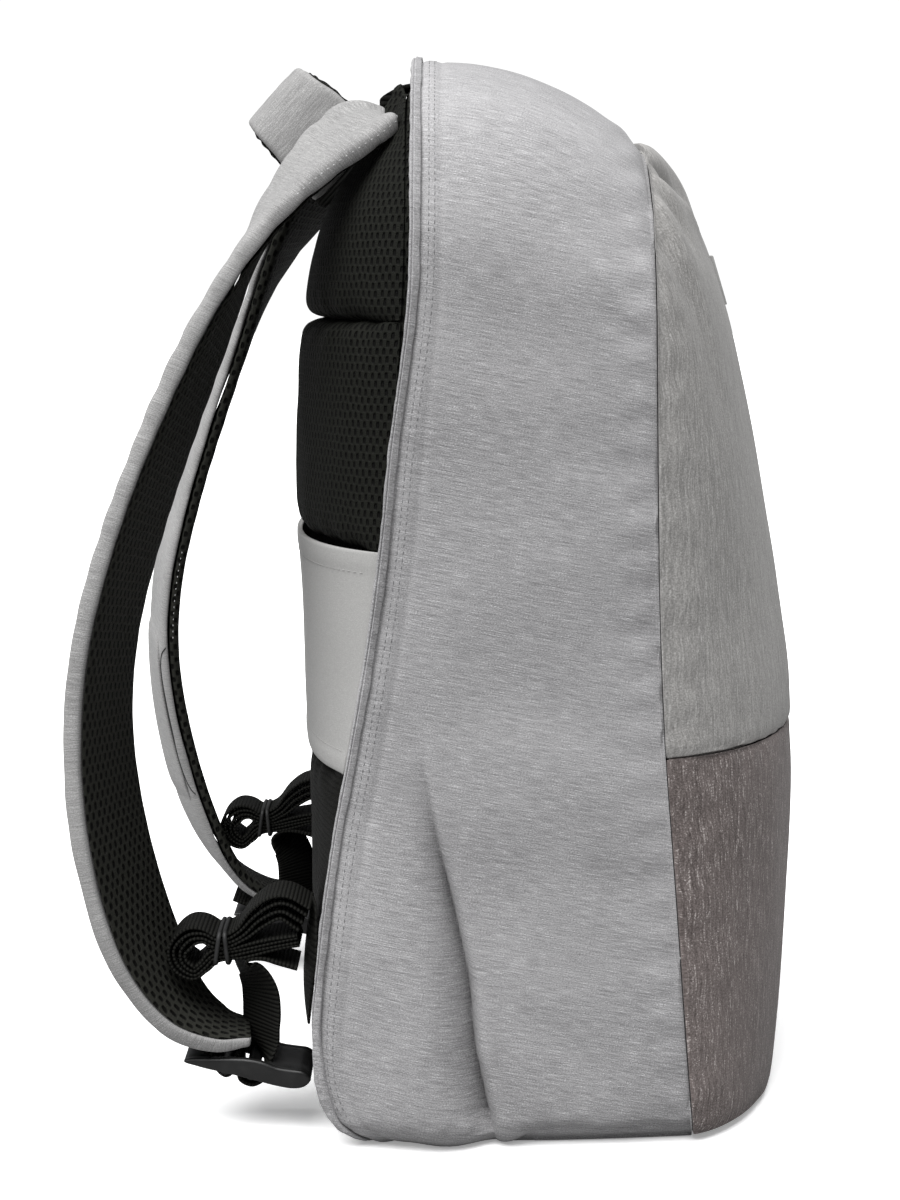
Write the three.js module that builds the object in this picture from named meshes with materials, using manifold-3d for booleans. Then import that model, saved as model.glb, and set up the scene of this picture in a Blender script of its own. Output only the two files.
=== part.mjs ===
// A city backpack with a hidden back opening, as separate sewn and moulded pieces.
// Millimetres, +Z up. The bag stands on its base with the origin in the middle of it.
// The front panel faces -Y, the wearer's back is on the +Y side, and the wearer's right is +X.
import * as THREE from 'three';
import { mergeVertices } from 'three/addons/utils/BufferGeometryUtils.js';
import Module from 'manifold-3d';

const wasm = await Module();
wasm.setup();

// Body sizes
const HEIGHT = 450;
const WIDTH = 300;
const FRONT_WIDTH = 292;
const SEAM_DEPTH = 157; // back edge to front seam, low down where the bag is deepest
const CROWN_DROP = 35; // the front seam's crown lies this far below the back edge's
const CROWN_RISE = 4;
const CORNER_RADIUS = 86;
const WALL = 4; // cloth with foam behind it
const SIDE_SWELL = 4;
const GAP = 0.4; // between pieces that are sewn together

// Base
const BASE_WALL = 3;
const BASE_ROUND = 14;
const BASE_CHAMFER = 2.5;

// Crease low on each side, and the lobe of slack cloth behind it
const CREASE_TOP = 150;
const LOBE_SWELL = 9;
const CREASE_DEPTH = 3;

// Front
const FRONT_BULGE = 69;
const COLOUR_SEAM = 165; // height of the seam between the grey and the brown cloth
const SEAM_PINCH = 1.6;
const DENT_DEPTH = 9;
const DENT_ACROSS = 70;
const DENT_BELOW_CROWN = 24;
const PLATE_WIDTH = 34;
const PLATE_HEIGHT = 22;
const PLATE_THICKNESS = 1.8;
const PLATE_TOP = 369;

// Back
const BACK_BULGE = 51;
const PAD_THICKNESS = 13;
const BOARD_WALL = 3;
const ZIP_WIDTH = 9;
const ZIP_THICKNESS = 1.6;
const ZIP_RECESS = 1.5;
const PIPING_HEIGHT = 2.4; // how far the edge piping stands proud of the side
const PIPING_WIDTH = 5;
const PAD_EDGE = 9; // radius of a pad's rounded edge
const PAD_GAP = 0.8; // between the board and what is quilted to it
const PAD_SPLIT = 341.5; // height of the quilted channel between the two mesh pads
const LUGGAGE_TOP = 248;
const LUGGAGE_HEIGHT = 92;
const LUGGAGE_WALL = 2.4;

// Shoulder straps
const STRAP_WIDTH = 66;
const STRAP_THICKNESS = 10;
const STRAP_REACH = 84; // how far the strap stands off the fullest part of the back
const STRAP_GAP = 1.7;
const POCKET_WIDTH = 44;
const POCKET_THICKNESS = 1.2;

// Grab handle
const HANDLE_WIDTH = 38;
const HANDLE_SPAN = 84;
const HANDLE_WAIST = 0.22;
const HANDLE_RISE = 45;
const HANDLE_COVER = 3.4;
const HANDLE_LINING = 1.8;
const HANDLE_HEIGHT = 407; // where its middle is sewn on
const HANDLE_LEAN = 43; // degrees above the horizontal
const HANDLE_SEAT = 1.4;

// Flap over the zip's ends
const FLAP_WIDTH = 40;
const FLAP_LENGTH = 15;
const FLAP_THICKNESS = 2.4;
const FLAP_DROP = 3;

// Webbing and its adjusters
const WEBBING_WIDTH = 25;
const WEBBING_THICKNESS = 1.7;
const LOCK_LENGTH = 50;
const LOCK_BAR = 5;
const LOCK_RAIL = 4;
const LOCK_CLEARANCE = 0.5; // between webbing and the plastic that it runs round
const LOCK_BACK = 13.5; // its middle bar lies this far behind the fullest part of the back
const LOCK_HEIGHT = 26;
const FIXED_BAR_BACK = 11;
const FIXED_BAR_UP = 2;
const ROLL_THICKNESS = 4.4; // layers of webbing folded together
const TIE_THICKNESS = 1.4;
const TIE_WIDTH = 7;
const TIE_BACK = 10;
const TIE_UP = 53.5;
const TIE_REACH = 5.7;
const WING_LOW = 44;
const WING_HIGH = 98;
const WING_WIDTH = 34;
const WING_RISE = 3;

// Steps of the meshes
const SIDE_STEPS = 11;
const CORNER_STEPS = 7;
const CROWN_STEPS = 12; // also the columns of the front and back panels
const STRAP_STEPS = 26;
const POCKET_FIRST = 16;
const POCKET_LAST = 20;

const FOOT = BASE_WALL + GAP; // the front and back panels end here, over the base
const HEM = GAP; // the side band reaches down past the edges of the base
const FOOT_ROWS = [FOOT, FOOT + 0.4 * (BASE_ROUND - FOOT)];
const BOARD_INSET = WALL + ZIP_WIDTH + 2 * GAP;
const DEGREE = Math.PI / 180;

const COLOURS = {
  grey_cloth: { color: 0x9b9899, roughness: 0.9 },
  brown_cloth: { color: 0x5d5450, roughness: 0.9 },
  black_mesh: { color: 0x141513, roughness: 0.95 },
  black_webbing: { color: 0x111211, roughness: 0.85 },
  black_plastic: { color: 0x1c1d1e, roughness: 0.45 },
  black_rubber: { color: 0x1b1b1c, roughness: 0.6 },
};

// Depth of the two seams by height. Heights are shares of HEIGHT, depths shares of SEAM_DEPTH.
const SEAM_TABLE = [
  { at: 0.0, back: 0.56, front: -0.298 },
  { at: 0.027, back: 0.656, front: -0.291 },
  { at: 0.056, back: 0.694, front: -0.283 },
  { at: 0.1, back: 0.705, front: -0.272 },
  { at: 0.17, back: 0.688, front: -0.256 },
  { at: 0.29, back: 0.643, front: -0.228 },
  { at: 0.37, back: 0.599, front: -0.208 },
  { at: 0.49, back: 0.541, front: -0.19 },
  { at: 0.6, back: 0.503, front: -0.182 },
  { at: 0.71, back: 0.478, front: -0.176 },
  { at: 0.82, back: 0.463, front: -0.172 },
  { at: 1.0, back: 0.462, front: -0.172 },
];

// How far the middle of the front stands ahead of its seam, in shares of FRONT_BULGE.
// Heights are shares of the front panel's own height.
const FRONT_TABLE = [
  { at: 0.0, bulge: 0.68 },
  { at: 0.07, bulge: 0.755 },
  { at: 0.18, bulge: 0.85 },
  { at: 0.28, bulge: 0.93 },
  { at: 0.36, bulge: 0.98 },
  { at: 0.43, bulge: 0.99 },
  { at: 0.53, bulge: 0.93 },
  { at: 0.65, bulge: 0.82 },
  { at: 0.74, bulge: 0.71 },
  { at: 0.82, bulge: 0.6 },
  { at: 0.9, bulge: 0.46 },
  { at: 0.955, bulge: 0.36 },
  { at: 0.98, bulge: 0.24 },
  { at: 0.993, bulge: 0.13 },
  { at: 1.0, bulge: 0.0 },
];

// How far the middle of the padded back stands behind the back edge, in shares of BACK_BULGE.
const BACK_TABLE = [
  { at: 0.0, bulge: 0.02 },
  { at: 0.03, bulge: 0.1 },
  { at: 0.06, bulge: 0.12 },
  { at: 0.1, bulge: 0.14 },
  { at: 0.17, bulge: 0.18 },
  { at: 0.23, bulge: 0.25 },
  { at: 0.29, bulge: 0.36 },
  { at: 0.37, bulge: 0.52 },
  { at: 0.49, bulge: 0.74 },
  { at: 0.59, bulge: 0.92 },
  { at: 0.7, bulge: 0.98 },
  { at: 0.78, bulge: 0.95 },
  { at: 0.86, bulge: 0.79 },
  { at: 0.9, bulge: 0.55 },
  { at: 0.925, bulge: 0.33 },
  { at: 0.95, bulge: 0.16 },
  { at: 0.975, bulge: 0.08 },
  { at: 1.0, bulge: 0.06 },
];

// Where the lobe's crease runs on the side, as shares of CREASE_TOP and of the side's depth.
const CREASE_TABLE = [
  { at: 0.0, across: 0.42 },
  { at: 0.3, across: 0.42 },
  { at: 0.5, across: 0.4 },
  { at: 0.75, across: 0.35 },
  { at: 1.0, across: 0.29 },
];

// The middle of a shoulder strap, from the top of the back down to the adjuster.
// across is a share of WIDTH / 2, out of STRAP_REACH, up of HEIGHT, wide of STRAP_WIDTH,
// thick of STRAP_THICKNESS, and lean is in degrees, positive with the outer edge farther back.
const STRAP_TABLE = [
  { across: 0.5, out: -0.62, up: 0.936, wide: 0.78, thick: 0.5, lean: -26 },
  { across: 0.5, out: -0.5, up: 0.944, wide: 0.84, thick: 0.85, lean: -24 },
  { across: 0.515, out: -0.25, up: 0.92, wide: 0.93, thick: 1, lean: -20 },
  { across: 0.535, out: -0.04, up: 0.88, wide: 1, thick: 1, lean: -13 },
  { across: 0.56, out: 0.16, up: 0.825, wide: 1, thick: 1, lean: -4 },
  { across: 0.6, out: 0.37, up: 0.745, wide: 1, thick: 1, lean: 5 },
  { across: 0.645, out: 0.56, up: 0.66, wide: 1, thick: 1, lean: 9 },
  { across: 0.69, out: 0.74, up: 0.567, wide: 1, thick: 1, lean: 11 },
  { across: 0.73, out: 0.88, up: 0.467, wide: 0.98, thick: 1, lean: 12 },
  { across: 0.76, out: 0.92, up: 0.378, wide: 0.96, thick: 1, lean: 13 },
  { across: 0.785, out: 0.865, up: 0.278, wide: 0.93, thick: 1, lean: 16 },
  { across: 0.79, out: 0.715, up: 0.178, wide: 0.86, thick: 0.95, lean: 18 },
  { across: 0.785, out: 0.525, up: 0.117, wide: 0.72, thick: 0.9, lean: 13 },
  { across: 0.775, out: 0.33, up: 0.092, wide: 0.56, thick: 0.8, lean: 5 },
  { across: 0.765, out: 0.18, up: 0.088, wide: 0.44, thick: 0.45, lean: 0 },
];

// Middle of the grab handle's band. out is a share of half its span, up of its rise.
const HANDLE_TABLE = [
  { out: -1, up: 0 },
  { out: -1, up: 0.4 },
  { out: -0.92, up: 0.78 },
  { out: -0.68, up: 0.97 },
  { out: 0, up: 1 },
  { out: 0.68, up: 0.97 },
  { out: 0.92, up: 0.78 },
  { out: 1, up: 0.4 },
  { out: 1, up: 0 },
];

// Lower and upper edge of the adjuster's side rails, from its lifting tip to its other end.
const LOCK_TABLE = [
  { at: 0, low: 2.4, high: 5.4 },
  { at: 0.07, low: 0.6, high: 5.8 },
  { at: 0.14, low: -0.8, high: 6 },
  { at: 0.5, low: -2, high: 6.4 },
  { at: 0.68, low: -1, high: 6 },
  { at: 0.8, low: -4.5, high: 5 },
  { at: 0.95, low: -5, high: 6 },
  { at: 1, low: -2, high: 3.5 },
];

// Webbing from the strap round the adjuster's fixed bar and back.
const TAB_TABLE = [
  { back: 29, up: 12.8 },
  { back: 19, up: 8.4 },
  { back: 15.2, up: 5 },
  { back: 14.6, up: 0.8 },
  { back: 11, up: -1.9 },
  { back: 7.4, up: 0.8 },
  { back: 6.9, up: 5 },
  { back: 5, up: 8.6 },
];

// Webbing from the corner of the back, down and round the adjuster's middle bar.
const STRAND_TABLE = [
  { back: -19.6, up: 44.6 },
  { back: -12, up: 46.8 },
  { back: -4, up: 49 },
  { back: 1.5, up: 48.2 },
  { back: 1, up: 44.8, turn: 8 },
  { back: -5, up: 40, turn: 28 },
  { back: -8.5, up: 33, turn: 38 },
  { back: -9, up: 25, turn: 38 },
  { back: -7, up: 17, turn: 26 },
  { back: -5, up: 9.5, turn: 8 },
  { back: -4.2, up: 2 },
  { back: -3.3, up: -2.6 },
  { back: 0, up: -4.2 },
  { back: 3.3, up: -2.6 },
  { back: 4.3, up: 2 },
];

// The webbing's long end, folded up and tied.
const ROLL_TABLE = [
  { back: -23, up: 67 },
  { back: -13, up: 71 },
  { back: -3, up: 66 },
  { back: 3, up: 59.5 },
  { back: 7, up: 56.6 },
  { back: 13, up: 56.4 },
  { back: 18, up: 58.8 },
  { back: 23, up: 58.5 },
  { back: 28, up: 53 },
  { back: 27, up: 46.5 },
  { back: 22, up: 43 },
  { back: 18.5, up: 46 },
  { back: 13.8, up: 50.2 },
  { back: 7, up: 51.4 },
  { back: 2, up: 52.5 },
  { back: -8, up: 54.5 },
  { back: -20, up: 58 },
];

// Value of a column of a table at a place, on a smooth curve through its rows.
function along(rows, column, at) {
  const last = rows.length - 1;
  const place = THREE.MathUtils.clamp(at, rows[0].at, rows[last].at);
  let i = 0;
  while (i < last - 1 && place > rows[i + 1].at) i += 1;
  const [a, b] = [rows[i], rows[i + 1]];
  const step = b.at - a.at;
  const slope = (k) => {
    const [p, q] = [rows[Math.max(k - 1, 0)], rows[Math.min(k + 1, last)]];
    return (q[column] - p[column]) / (q.at - p.at);
  };
  const t = (place - a.at) / step;
  const hermite = [
    (1 + 2 * t) * (1 - t) ** 2,
    t * (1 - t) ** 2,
    t * t * (3 - 2 * t),
    t * t * (t - 1),
  ];
  return (
    hermite[0] * a[column] +
    hermite[1] * step * slope(i) +
    hermite[2] * b[column] +
    hermite[3] * step * slope(i + 1)
  );
}

const lerp = THREE.MathUtils.lerp;
const point = (x, y, z) => new THREE.Vector3(x, y, z);
const steps = (count) => Array.from({ length: count + 1 }, (_, k) => k / count);
const bell = (distance, radius) => Math.exp(-((distance / radius) ** 2));

// Closed solid through sections with equal numbers of points. Each end is closed across.
function loft(sections) {
  const count = sections[0].length;
  const faces = [];
  for (let i = 0; i + 1 < sections.length; i += 1) {
    for (let j = 0; j < count; j += 1) {
      const [a, b] = [i * count + j, i * count + ((j + 1) % count)];
      faces.push([a, b, b + count], [a, b + count, a + count]);
    }
  }
  const closeEnd = (start, turn) => {
    let [low, high] = [0, count - 1];
    while (high - low > 1) {
      const near = [start + low, start + low + 1, start + high];
      faces.push(turn ? near.reverse() : near);
      low += 1;
      if (high - low > 1) {
        const far = [start + low, start + high - 1, start + high];
        faces.push(turn ? far.reverse() : far);
      }
      high -= 1;
    }
  };
  closeEnd(0, true);
  closeEnd((sections.length - 1) * count, false);
  return closedGeometry(sections.flat(), faces);
}

// Closed solid swept round a closed path, with sections that go all the way round.
function ring(sections) {
  const count = sections[0].length;
  const faces = [];
  sections.forEach((_, i) => {
    const next = (i + 1) % sections.length;
    for (let j = 0; j < count; j += 1) {
      const k = (j + 1) % count;
      const [a, b] = [i * count + j, i * count + k];
      const [c, d] = [next * count + k, next * count + j];
      faces.push([a, b, c], [a, c, d]);
    }
  });
  return closedGeometry(sections.flat(), faces);
}

// Indexed geometry whose faces point out, whichever way round its sections were given.
function closedGeometry(points, faces) {
  const volume = faces.reduce((sum, [a, b, c]) => {
    const cross = points[b].clone().cross(points[c]);
    return sum + points[a].dot(cross);
  }, 0);
  const outward = volume < 0 ? faces.map((face) => [...face].reverse()) : faces;
  const geometry = new THREE.BufferGeometry().setFromPoints(points);
  geometry.setIndex(outward.flat());
  geometry.computeVertexNormals();
  return geometry;
}

// A manifold-3d solid from a closed three.js geometry.
function solidFrom(geometry) {
  const bare = geometry.clone();
  for (const name of ['normal', 'uv']) bare.deleteAttribute(name);
  const merged = mergeVertices(bare, 1e-4);
  return new wasm.Manifold(
    new wasm.Mesh({
      numProp: 3,
      vertProperties: new Float32Array(merged.attributes.position.array),
      triVerts: new Uint32Array(merged.index.array),
    }),
  );
}

function geometryFrom(solid) {
  const mesh = solid.getMesh();
  const geometry = new THREE.BufferGeometry();
  geometry.setAttribute('position', new THREE.BufferAttribute(mesh.vertProperties, 3));
  geometry.setIndex(new THREE.BufferAttribute(mesh.triVerts, 1));
  geometry.computeVertexNormals();
  return geometry;
}

const pack = new THREE.Group();

function addPiece(name, colour, geometry, parent = pack) {
  const material = new THREE.MeshStandardMaterial({ ...COLOURS[colour], metalness: 0 });
  const mesh = new THREE.Mesh(geometry, material);
  mesh.name = name;
  parent.add(mesh);
  return mesh;
}

// Outline of the body

const backY = (z) => SEAM_DEPTH * along(SEAM_TABLE, 'back', z / HEIGHT);
const frontY = (z) => SEAM_DEPTH * along(SEAM_TABLE, 'front', z / HEIGHT);

// A section of the body seen from the front: an arch with round shoulders.
function archAt(across, inset) {
  return {
    half: lerp(WIDTH, FRONT_WIDTH, across) / 2 - inset,
    top: HEIGHT - CROWN_DROP * across ** 2.6 - inset,
    radius: CORNER_RADIUS - inset,
  };
}

// The sides turn in where they meet the base.
function footInset(z) {
  const below = Math.max(BASE_ROUND - z, 0);
  return BASE_ROUND - Math.sqrt(BASE_ROUND ** 2 - below ** 2);
}

function halfWidthAt(z, { half, top, radius }) {
  const above = THREE.MathUtils.clamp(z - (top - radius), 0, radius);
  return half - footInset(z) - radius + Math.sqrt(radius ** 2 - above ** 2);
}

// The crown is a shallow arch between the two shoulders.
function crownRise(z, share, { top, radius }) {
  const climb = THREE.MathUtils.clamp((z - (top - radius)) / radius, 0, 1);
  return CROWN_RISE * climb ** 2 * (1 - share ** 2);
}

// Heights of the rows of a panel, closer together round the foot and the shoulders.
function rowHeights(low, high, arch, sideSteps) {
  const spring = arch.top - arch.radius;
  const foot = low < BASE_ROUND ? FOOT_ROWS : [];
  const start = Math.max(low, BASE_ROUND);
  const end = Math.min(high, spring);
  const side = [...foot, ...steps(sideSteps).map((k) => lerp(start, end, k))];
  if (high <= spring) return side;
  const turn = Math.asin(Math.min((high - spring) / arch.radius, 1));
  const shoulder = steps(CORNER_STEPS).slice(1);
  return [...side, ...shoulder.map((k) => spring + arch.radius * Math.sin(k * turn))];
}

// Columns of the front and back panels, from -1 to 1, closer together towards the seams.
const COLUMNS = steps(CROWN_STEPS).map((k) => Math.sin((k - 0.5) * Math.PI));

// Fullness of a stuffed panel from its middle to its seam.
const dome = (share) => Math.max(1 - Math.abs(share) ** 2.8, 0) ** 0.7;

// Side and top band

// Where a station of the band lies, from the left foot over the crown to the right foot.
function bandStations(lowest) {
  const foot = [...lowest, ...FOOT_ROWS].map((z) => ({ foot: z }));
  const side = steps(SIDE_STEPS).map((k) => ({ height: k }));
  const corner = steps(CORNER_STEPS).slice(1).map((k) => ({ turn: k * 90 * DEGREE }));
  const half = [...foot, ...side, ...corner];
  const crown = COLUMNS.slice(1, -1).map((share) => ({ share }));
  const left = half.map((place) => ({ ...place, side: -1 }));
  const right = half.map((place) => ({ ...place, side: 1 })).reverse();
  return [...left, ...crown, ...right];
}

function bandOutline(station, arch) {
  const { half, top, radius } = arch;
  const spring = top - radius;
  if (station.share !== undefined) {
    const x = station.share * (half - radius);
    return { x, z: top + crownRise(top, station.share, arch) };
  }
  if (station.turn !== undefined) {
    const x = half - radius + radius * Math.cos(station.turn);
    return { x: station.side * x, z: spring + radius * Math.sin(station.turn) };
  }
  const z = station.foot ?? lerp(BASE_ROUND, spring, station.height);
  return { x: station.side * (half - footInset(z)), z };
}

const creaseLine = (z) => along(CREASE_TABLE, 'across', z / CREASE_TOP);

// Places across the band at a height. One of them always lies on the crease.
function bandColumns(z) {
  const line = creaseLine(z);
  const behind = [0, 0.3, 0.62, 0.85, 1].map((k) => k * line);
  const ahead = [0.09, 0.3, 0.58, 0.82, 1].map((k) => lerp(line, 1, k));
  return [...behind, ...ahead];
}

// Slack cloth low on the side: a lobe towards the back edge that ends in a crease.
function slack(z, across) {
  if (z > CREASE_TOP) return 0;
  const up = z / CREASE_TOP;
  const line = creaseLine(z);
  const fade = Math.sqrt(1 - up) * Math.min(1, z / BASE_ROUND);
  const behind = (line - across) / line;
  const lobe = behind > 0 ? Math.sin(Math.PI * Math.min(behind, 1) ** 0.62) : 0;
  const fold = bell(across - line, 0.05);
  return fade * (LOBE_SWELL * lobe - CREASE_DEPTH * fold);
}

function bandPoint(station, across, inset) {
  const arch = archAt(across, inset);
  const { x, z } = bandOutline(station, arch);
  const side = station.side ?? 0;
  const swell = SIDE_SWELL * Math.sin(Math.PI * across);
  const climb = THREE.MathUtils.clamp((z - (arch.top - arch.radius)) / arch.radius, 0, 1);
  const outward = (swell + slack(z, across)) * Math.sqrt(1 - climb ** 2);
  return point(x + side * outward, lerp(backY(z), frontY(z), across), z);
}

function sideBand() {
  const sections = bandStations([HEM]).map((station) => {
    const columns = bandColumns(bandOutline(station, archAt(0, 0)).z);
    return [
      ...columns.map((across) => bandPoint(station, across, 0)),
      ...columns.toReversed().map((across) => bandPoint(station, across, WALL)),
    ];
  });
  addPiece('side_band', 'grey_cloth', loft(sections));
}

// Piping along the back edge

function edgePiping() {
  const profile = [
    { out: -0.8, back: 0 },
    { out: 0.5, back: 0 },
    { out: 1, back: 0.3 },
    { out: 0.8, back: 0.85 },
    { out: 0.1, back: 1 },
    { out: -0.8, back: 0.95 },
  ];
  const sections = bandStations([HEM]).map((station) =>
    profile.map(({ out, back }) => {
      const { x, z } = bandOutline(station, archAt(0, -out * PIPING_HEIGHT));
      return point(x, backY(z) + GAP + back * PIPING_WIDTH, z);
    }),
  );
  addPiece('edge_piping', 'grey_cloth', loft(sections));
}

// Hidden zip between the side band and the back board

function zipBand() {
  const profile = [
    { across: 0, deep: 0 },
    { across: 1, deep: 0 },
    { across: 1, deep: ZIP_THICKNESS },
    { across: 0, deep: ZIP_THICKNESS },
  ];
  const sections = bandStations([]).map((station) =>
    profile.map(({ across, deep }) => {
      const inset = WALL + GAP + across * ZIP_WIDTH;
      const { x, z } = bandOutline(station, archAt(0, inset));
      return point(x, backY(z) - ZIP_RECESS - deep, z);
    }),
  );
  addPiece('zip_band', 'black_webbing', loft(sections));
}

// Front panels

function dent(x, z) {
  const crown = archAt(1, 0).top;
  const down = crown - DENT_BELOW_CROWN - z;
  const [wide, tall] = [0.42 * DENT_ACROSS, 0.75 * DENT_BELOW_CROWN];
  return DENT_DEPTH * bell(Math.abs(x) - DENT_ACROSS, wide) * bell(down, tall);
}

function frontBulge(share, z, arch) {
  const height = along(FRONT_TABLE, 'bulge', (z - FOOT) / (arch.top - FOOT));
  const pinch = SEAM_PINCH * bell(z - COLOUR_SEAM, 5);
  const x = share * halfWidthAt(z, arch);
  return Math.max(FRONT_BULGE * height * dome(share) - dent(x, z) * dome(share), 0) - pinch * dome(share);
}

function frontPoint(share, height, inset) {
  const outer = archAt(1, 0);
  const inner = archAt(1, inset);
  const z = lerp(FOOT, inner.top, (height - FOOT) / (outer.top - FOOT));
  const stand = frontBulge(share, height, outer) - inset * dome(share);
  const y = frontY(z) - GAP - Math.max(stand, 0);
  return point(share * halfWidthAt(z, inner), y, z + crownRise(z, share, inner));
}

function frontPanel(name, colour, low, high, rows) {
  const sections = rowHeights(low, high, archAt(1, 0), rows).map((height) => [
    ...COLUMNS.map((share) => frontPoint(share, height, 0)),
    ...COLUMNS.toReversed().map((share) => frontPoint(share, height, WALL)),
  ]);
  addPiece(name, colour, loft(sections));
}

// A blank plate on the middle of the front, tilted with the cloth
function frontPlate() {
  const arch = archAt(1, 0);
  const rows = [PLATE_TOP, PLATE_TOP - PLATE_HEIGHT];
  const faceY = (z) => frontY(z) - GAP - frontBulge(0, z, arch);
  const sections = rows.map((z) => {
    const near = faceY(z) - GAP - PLATE_THICKNESS * 0.4;
    const far = near - PLATE_THICKNESS;
    const half = PLATE_WIDTH / 2;
    return [point(-half, near, z), point(half, near, z), point(half, far, z), point(-half, far, z)];
  });
  addPiece('front_plate', 'grey_cloth', loft(sections));
}

// Base

// Outline of the base, which lies between the two ends of the side band.
function baseOutline(inset) {
  const halfAt = (across) => archAt(across, inset + WALL + GAP).half - footInset(HEM);
  const right = steps(5).slice(0, -1).map((across) => ({
    x: halfAt(across),
    y: lerp(backY(FOOT) - inset, frontY(FOOT), across),
  }));
  const left = right.map(({ x, y }) => ({ x: -x, y }));
  const nose = COLUMNS.map((share) => ({
    x: share * halfAt(1),
    y: frontY(FOOT) - GAP - Math.max(frontBulge(share, FOOT, archAt(1, 0)) - inset, 0),
  }));
  return [...left, ...nose, ...right.reverse()];
}

function basePanel() {
  const low = baseOutline(BASE_CHAMFER).map(({ x, y }) => point(x, y, 0));
  const high = baseOutline(0).map(({ x, y }) => point(x, y, BASE_WALL));
  addPiece('base_panel', 'brown_cloth', loft([low, high]));
}

// Back board, pads and luggage strap

const BOARD_ARCH = archAt(0, BOARD_INSET);
const BOARD_ROWS = rowHeights(FOOT, BOARD_ARCH.top, BOARD_ARCH, 11);

// The back as a wearer feels it: the faces of the pads.
function backFace(share, z) {
  return backY(z) + BACK_BULGE * along(BACK_TABLE, 'bulge', z / HEIGHT) * dome(share);
}

// The board lies a pad's thickness below that face, and runs out to it at its edges.
function boardFace(share, z) {
  const stand = backFace(share, z) - backY(z);
  const pad = PAD_THICKNESS * Math.min(1, stand / (2 * PAD_THICKNESS)) ** 0.8;
  return backY(z) + Math.max(stand - pad, 0);
}

function boardNode(share, z) {
  const x = share * halfWidthAt(z, BOARD_ARCH);
  return point(x, boardFace(share, z), z + crownRise(z, share, BOARD_ARCH));
}

// Place on the board's outer face, on the straight line between its rows, and a lift off it.
function boardPoint(share, z, lift) {
  const last = BOARD_ROWS.length - 2;
  const found = BOARD_ROWS.findIndex((row, k) => k === last + 1 || z <= BOARD_ROWS[k + 1]);
  const k = Math.min(found, last);
  const at = (z - BOARD_ROWS[k]) / (BOARD_ROWS[k + 1] - BOARD_ROWS[k]);
  const place = boardNode(share, BOARD_ROWS[k]).lerp(boardNode(share, BOARD_ROWS[k + 1]), at);
  return place.setY(place.y + lift);
}

function backBoard() {
  const sections = BOARD_ROWS.map((z) => [
    ...COLUMNS.map((share) => boardPoint(share, z, 0)),
    ...COLUMNS.toReversed().map((share) => boardPoint(share, z, -BOARD_WALL)),
  ]);
  addPiece('back_board', 'black_mesh', loft(sections));
}

// Share of its full thickness that a pad has near its edge.
function edgeRound(distance) {
  const short = Math.max(1 - distance / PAD_EDGE, 0);
  return Math.sqrt(Math.max(1 - short ** 2, 0));
}

// Heights between two limits: those given, and the board's own rows that lie between them.
function rowsOnBoard(low, high, given) {
  const own = BOARD_ROWS.filter((z) => z > low && z < high);
  const rest = given.filter((z) => own.every((row) => Math.abs(row - z) > 1));
  return [low, ...[...own, ...rest].sort((a, b) => a - b), high];
}

// Rows of a pad, closer together round its lower and upper edges.
function padRows(low, high) {
  const edge = [0.12, 0.45, 1].map((k) => k * PAD_EDGE);
  return rowsOnBoard(low, high, [...edge.map((e) => low + e), ...edge.map((e) => high - e)]);
}

// A pad between two heights. Its cloth is seamThickness thick where it is sewn down.
function backPad(name, colour, low, high) {
  const seamThickness = 1.5;
  const sections = padRows(low, high).map((z) => {
    const round = edgeRound(Math.min(z - low, high - z));
    const top = COLUMNS.map((share) => {
      const flat = boardPoint(share, z, PAD_GAP);
      const full = backFace(share, z) - flat.y;
      return flat.clone().setY(flat.y + seamThickness + Math.max(full - seamThickness, 0) * round);
    });
    return [...COLUMNS.map((share) => boardPoint(share, z, PAD_GAP)), ...top.reverse()];
  });
  addPiece(name, colour, loft(sections));
}

// A cloth band across the back that a suitcase handle slides behind.
function luggageStrap() {
  const low = LUGGAGE_TOP - LUGGAGE_HEIGHT;
  const stand = (share, z) => backFace(share, z) - LUGGAGE_WALL - boardFace(share, z);
  const lift = (share, z) => Math.max(stand(share, z), PAD_GAP);
  const sections = rowsOnBoard(low, LUGGAGE_TOP, []).map((z) => {
    const inner = COLUMNS.map((share) => boardPoint(share, z, lift(share, z)));
    const outer = COLUMNS.toReversed().map((share) =>
      boardPoint(share, z, lift(share, z) + LUGGAGE_WALL),
    );
    return [...inner, ...outer];
  });
  addPiece('luggage_strap', 'grey_cloth', loft(sections));
}

// Shoulder straps

const BACK_PLANE = backFace(0, 0.7 * HEIGHT);

// Smallest move in +Y that brings the edge between two points clear of the padded back.
function clearOfBack(start, end) {
  const short = steps(4).map((k) => {
    const { x, y, z } = start.clone().lerp(end, k);
    const share = THREE.MathUtils.clamp(x / halfWidthAt(z, BOARD_ARCH), -1, 1);
    return backFace(share, z) + STRAP_GAP - y;
  });
  return Math.max(0, ...short);
}

// Centre line and cross axes of the right-hand strap at each step.
function strapFrames() {
  const middles = STRAP_TABLE.map(({ across, out, up }) =>
    point((across * WIDTH) / 2, BACK_PLANE + out * STRAP_REACH, up * HEIGHT),
  );
  const curve = new THREE.CatmullRomCurve3(middles, false, 'centripetal');
  const rows = STRAP_TABLE.map((row, k) => ({ ...row, at: k / (STRAP_TABLE.length - 1) }));
  return steps(STRAP_STEPS).map((k) => {
    const tangent = curve.getTangent(k);
    const width = point(1, 0, 0).addScaledVector(tangent, -tangent.x).normalize();
    const lean = along(rows, 'lean', k) * DEGREE;
    width.applyAxisAngle(tangent, -lean);
    return {
      middle: curve.getPoint(k),
      width,
      out: width.clone().cross(tangent),
      half: (STRAP_WIDTH * along(rows, 'wide', k)) / 2,
      thickness: STRAP_THICKNESS * along(rows, 'thick', k),
    };
  });
}

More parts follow.
